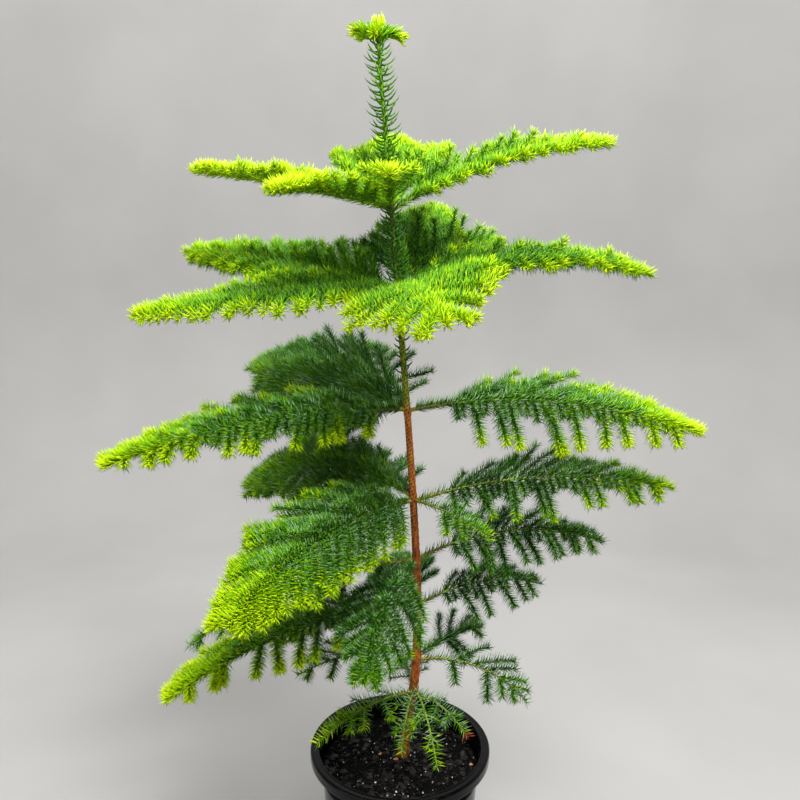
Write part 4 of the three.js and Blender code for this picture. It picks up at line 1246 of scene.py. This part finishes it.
def bed_height(x, y):
    """The level plus four sizes of lattice noise, dipping at the wall and rising a little at the stem."""
    out = np.hypot(x, y)
    rise = sum(2 * tall * lattice_noise(x, y, BED_SPAN / count, count) for count, tall in BED_WAVES)
    rise = rise * np.clip((BED_EDGE - out) / 6, 0, 1)
    stem = 1.5 * np.exp(-(np.hypot(x - TRUNK_POINTS[0, 0], y - TRUNK_POINTS[0, 1]) / 14) ** 2)
    dip = 3 * np.clip((out - DIP_FROM) / 12, 0, 1) ** 2
    return SOIL_LEVEL - 0.4 + rise + stem - dip


def soil_bed_surface():
    """A closed puck: the bed's top on a polar grid, then straight down and in to a flat underside."""
    out = np.concatenate([np.linspace(0.01, 88.2, BED_RINGS), [88.0, 87.6, 0.01]])
    turn = np.linspace(0, 2 * np.pi, BED_COLUMNS, endpoint=False)
    x, y = out[:, None] * np.cos(turn), out[:, None] * np.sin(turn)
    z = bed_height(x, y)
    z[-3:] = np.array([160.0, 158.5, 158.5])[:, None]
    return np.stack([x, y, z], axis=-1)


bed_points = soil_bed_surface()
bed_faces = grid_faces(len(bed_points), BED_COLUMNS)[:, ::-1]
soil_bed = put_mesh("soil_bed", bed_points.reshape(-1, 3), bed_faces, "potting_mix", ["soil"])
close_poles(soil_bed)

# %% Crumbs, chips and perlite
GOLD = (1 + 5**0.5) / 2
LUMP = unit(np.array([
    [-1, GOLD, 0], [1, GOLD, 0], [-1, -GOLD, 0], [1, -GOLD, 0], [0, -1, GOLD], [0, 1, GOLD],
    [0, -1, -GOLD], [0, 1, -GOLD], [GOLD, 0, -1], [GOLD, 0, 1], [-GOLD, 0, -1], [-GOLD, 0, 1]]))
LUMP_FACES = np.array([
    [0, 11, 5], [0, 5, 1], [0, 1, 7], [0, 7, 10], [0, 10, 11], [1, 5, 9], [5, 11, 4], [11, 10, 2],
    [10, 7, 6], [7, 1, 8], [3, 9, 4], [3, 4, 2], [3, 2, 6], [3, 6, 8], [3, 8, 9], [4, 9, 5], [2, 4, 11],
    [6, 2, 10], [8, 6, 7], [9, 8, 1]])
STREWN_REACH, LUMP_REACH = 86, 87.5


def spun(shapes, angles, first, second):
    """Each shape turned in the plane of two axes by its angle: x cos - y sin and x sin + y cos."""
    c, s = np.cos(angles)[:, None], np.sin(angles)[:, None]
    result = shapes.copy()
    result[..., first] = shapes[..., first] * c - shapes[..., second] * s
    result[..., second] = shapes[..., first] * s + shapes[..., second] * c
    return result


def lumps(count, sizes, flatness, sunk, key):
    """Faceted lumps strewn on the bed: an icosahedron with each corner pushed in or out by chance,
    stretched to three half sizes, turned and tipped by chance, and sunk a little in the bed."""
    rng = np.random.default_rng(key)
    out = STREWN_REACH * np.sqrt(rng.random(count))
    turn = 2 * np.pi * rng.random(count)
    x, y = out * np.cos(turn), out * np.sin(turn)
    size = sizes[0] * (sizes[1] / sizes[0]) ** (rng.random(count) ** 1.8)
    wide = size * rng.uniform(0.45, 0.9, count)
    stretch = np.stack([size, wide, size * rng.uniform(*flatness, count)], axis=-1)
    shape = LUMP[None] * rng.uniform(0.72, 1.2, (count, len(LUMP), 1)) * stretch[:, None]
    spin = rng.uniform(0, 2 * np.pi, count)
    tip = rng.normal(0, 0.35, count)
    shape = spun(spun(shape, tip, 0, 2), spin, 0, 1)
    z = bed_height(x, y) + stretch[:, 2] * (1 - 2 * sunk)
    points = shape + np.stack([x, y, z], axis=-1)[:, None]
    reach = np.hypot(points[..., 0], points[..., 1]).max(axis=1)
    return joined(points[reach < LUMP_REACH], LUMP_FACES)


STREWN = {
    "soil_crumbs": (2200, (0.7, 3.2), (0.4, 0.8), 0.35, 11),
    "bark_chips": (420, (2.0, 7.5), (0.14, 0.3), 0.2, 12),
    "tan_chips": (9, (1.4, 3.4), (0.25, 0.5), 0.2, 13),
    "perlite_grains": (150, (0.4, 1.7), (0.6, 0.95), 0.2, 14),
}
mix_pieces = {"soil_bed": soil_bed}
for name, settings in STREWN.items():
    mix_pieces[name] = put_mesh(name, *lumps(*settings), "potting_mix", ["soil"], smooth=False)

# %% [markdown]
# ## Damp and dry in the mix
# Damp compost is dark and a little shiny on its facets, perlite is chalk white and dull. Each kind has its
# own two tones on the shared mottle.

# %% Potting mix materials
MIX = {
    "soil_bed": (("020101", "050403"), 420, (0.7, 0.95), 0.1),
    "soil_crumbs": (("030202", "0C0907"), 150, (0.45, 0.7), 0.2),
    "bark_chips": (("050403", "120D09"), 120, (0.27, 0.52), 0.4),
    "tan_chips": (("8A5A3A", "C89A74"), 150, (0.55, 0.8), 0.3),
    "perlite_grains": (("B8B6AC", "EEECE4"), 300, (0.7, 0.95), 0.3),
}
for name, settings in MIX.items():
    two_tone(name, [mix_pieces[name]], *settings, relief=0.0008)
print("mix finishes:", len(MIX))

# %% [markdown]
# ## Floor, light and camera
# A pale round floor bends up into a wall all round the plant, so there is no hard horizon from any side.
# The light is soft, from the upper right in front, with a wide fill and one from above, as on a bright day
# in open shade. The camera stands where the measured perspective says: 0.76 m in front of the pot's middle,
# 0.70 m up, 9.2 degrees down.

# %% Floor
def sweep_surface():
    """Flat, then a quarter circle, then upright, in metres, turned round an upright axis that stands in
    front of the plant."""
    flat = straight((0.01, 0), (2.3, 0), 12)
    bend = arc((2.3, 0.7), 0.7, -85, 0, 16)
    wall = straight((3.0, 0.9), (3.0, 3.4), 8)
    return turned(np.concatenate([flat, bend, wall]), 96) + np.array([0, -1.1, 0])


sweep = sweep_surface()
floor = put_mesh("pale_floor", sweep.reshape(-1, 3) / MM, grid_faces(*sweep.shape[:2])[:, ::-1])
finish = Finish("pale_floor", specular=0.2, roughness=0.8)
tone, _ = finish.mottle("A6A5A3", "ACABA9", 3)
finish.coat(tone)
finish.dress(floor)

# %% Lights and camera
CAMERA_PLACE = (0.0, -0.760, 0.703)
CAMERA_DOWN = 9.2
scene = bpy.context.scene


def soft_light(name, place, target, size, power):
    """A square area light that looks from its place to the target."""
    data = bpy.data.lights.new(name, "AREA")
    data.shape = "SQUARE"
    data.size = size
    data.energy = power
    lamp = bpy.data.objects.new(name, data)
    lamp.location = place
    lamp.rotation_euler = (Vector(target) - Vector(place)).to_track_quat("-Z", "Y").to_euler()
    scene.collection.objects.link(lamp)


soft_light("key", (0.6, -1.1, 2.6), (0, 0, 0.55), 0.9, 90)
soft_light("fill", (-1.8, -1.3, 1.5), (0, 0, 0.5), 1.8, 13)
soft_light("top", (-0.1, 0.4, 2.7), (0, 0, 0.5), 1.6, 50)
scene.world = bpy.data.worlds.new("open_shade")
scene.world.use_nodes = True
sky = scene.world.node_tree.nodes["Background"]
sky.inputs["Color"].default_value = (0.93, 0.96, 1.0, 1.0)
sky.inputs["Strength"].default_value = 0.07

camera_data = bpy.data.cameras.new("camera")
camera_data.sensor_width = 36.0
camera_data.lens = 33.3
camera = bpy.data.objects.new("camera", camera_data)
camera.location = CAMERA_PLACE
camera.rotation_euler = (np.radians(90 - CAMERA_DOWN), 0.0, 0.0)
scene.collection.objects.link(camera)
scene.camera = camera
scene.view_settings.view_transform = "Standard"
print("camera at", tuple(camera.location))
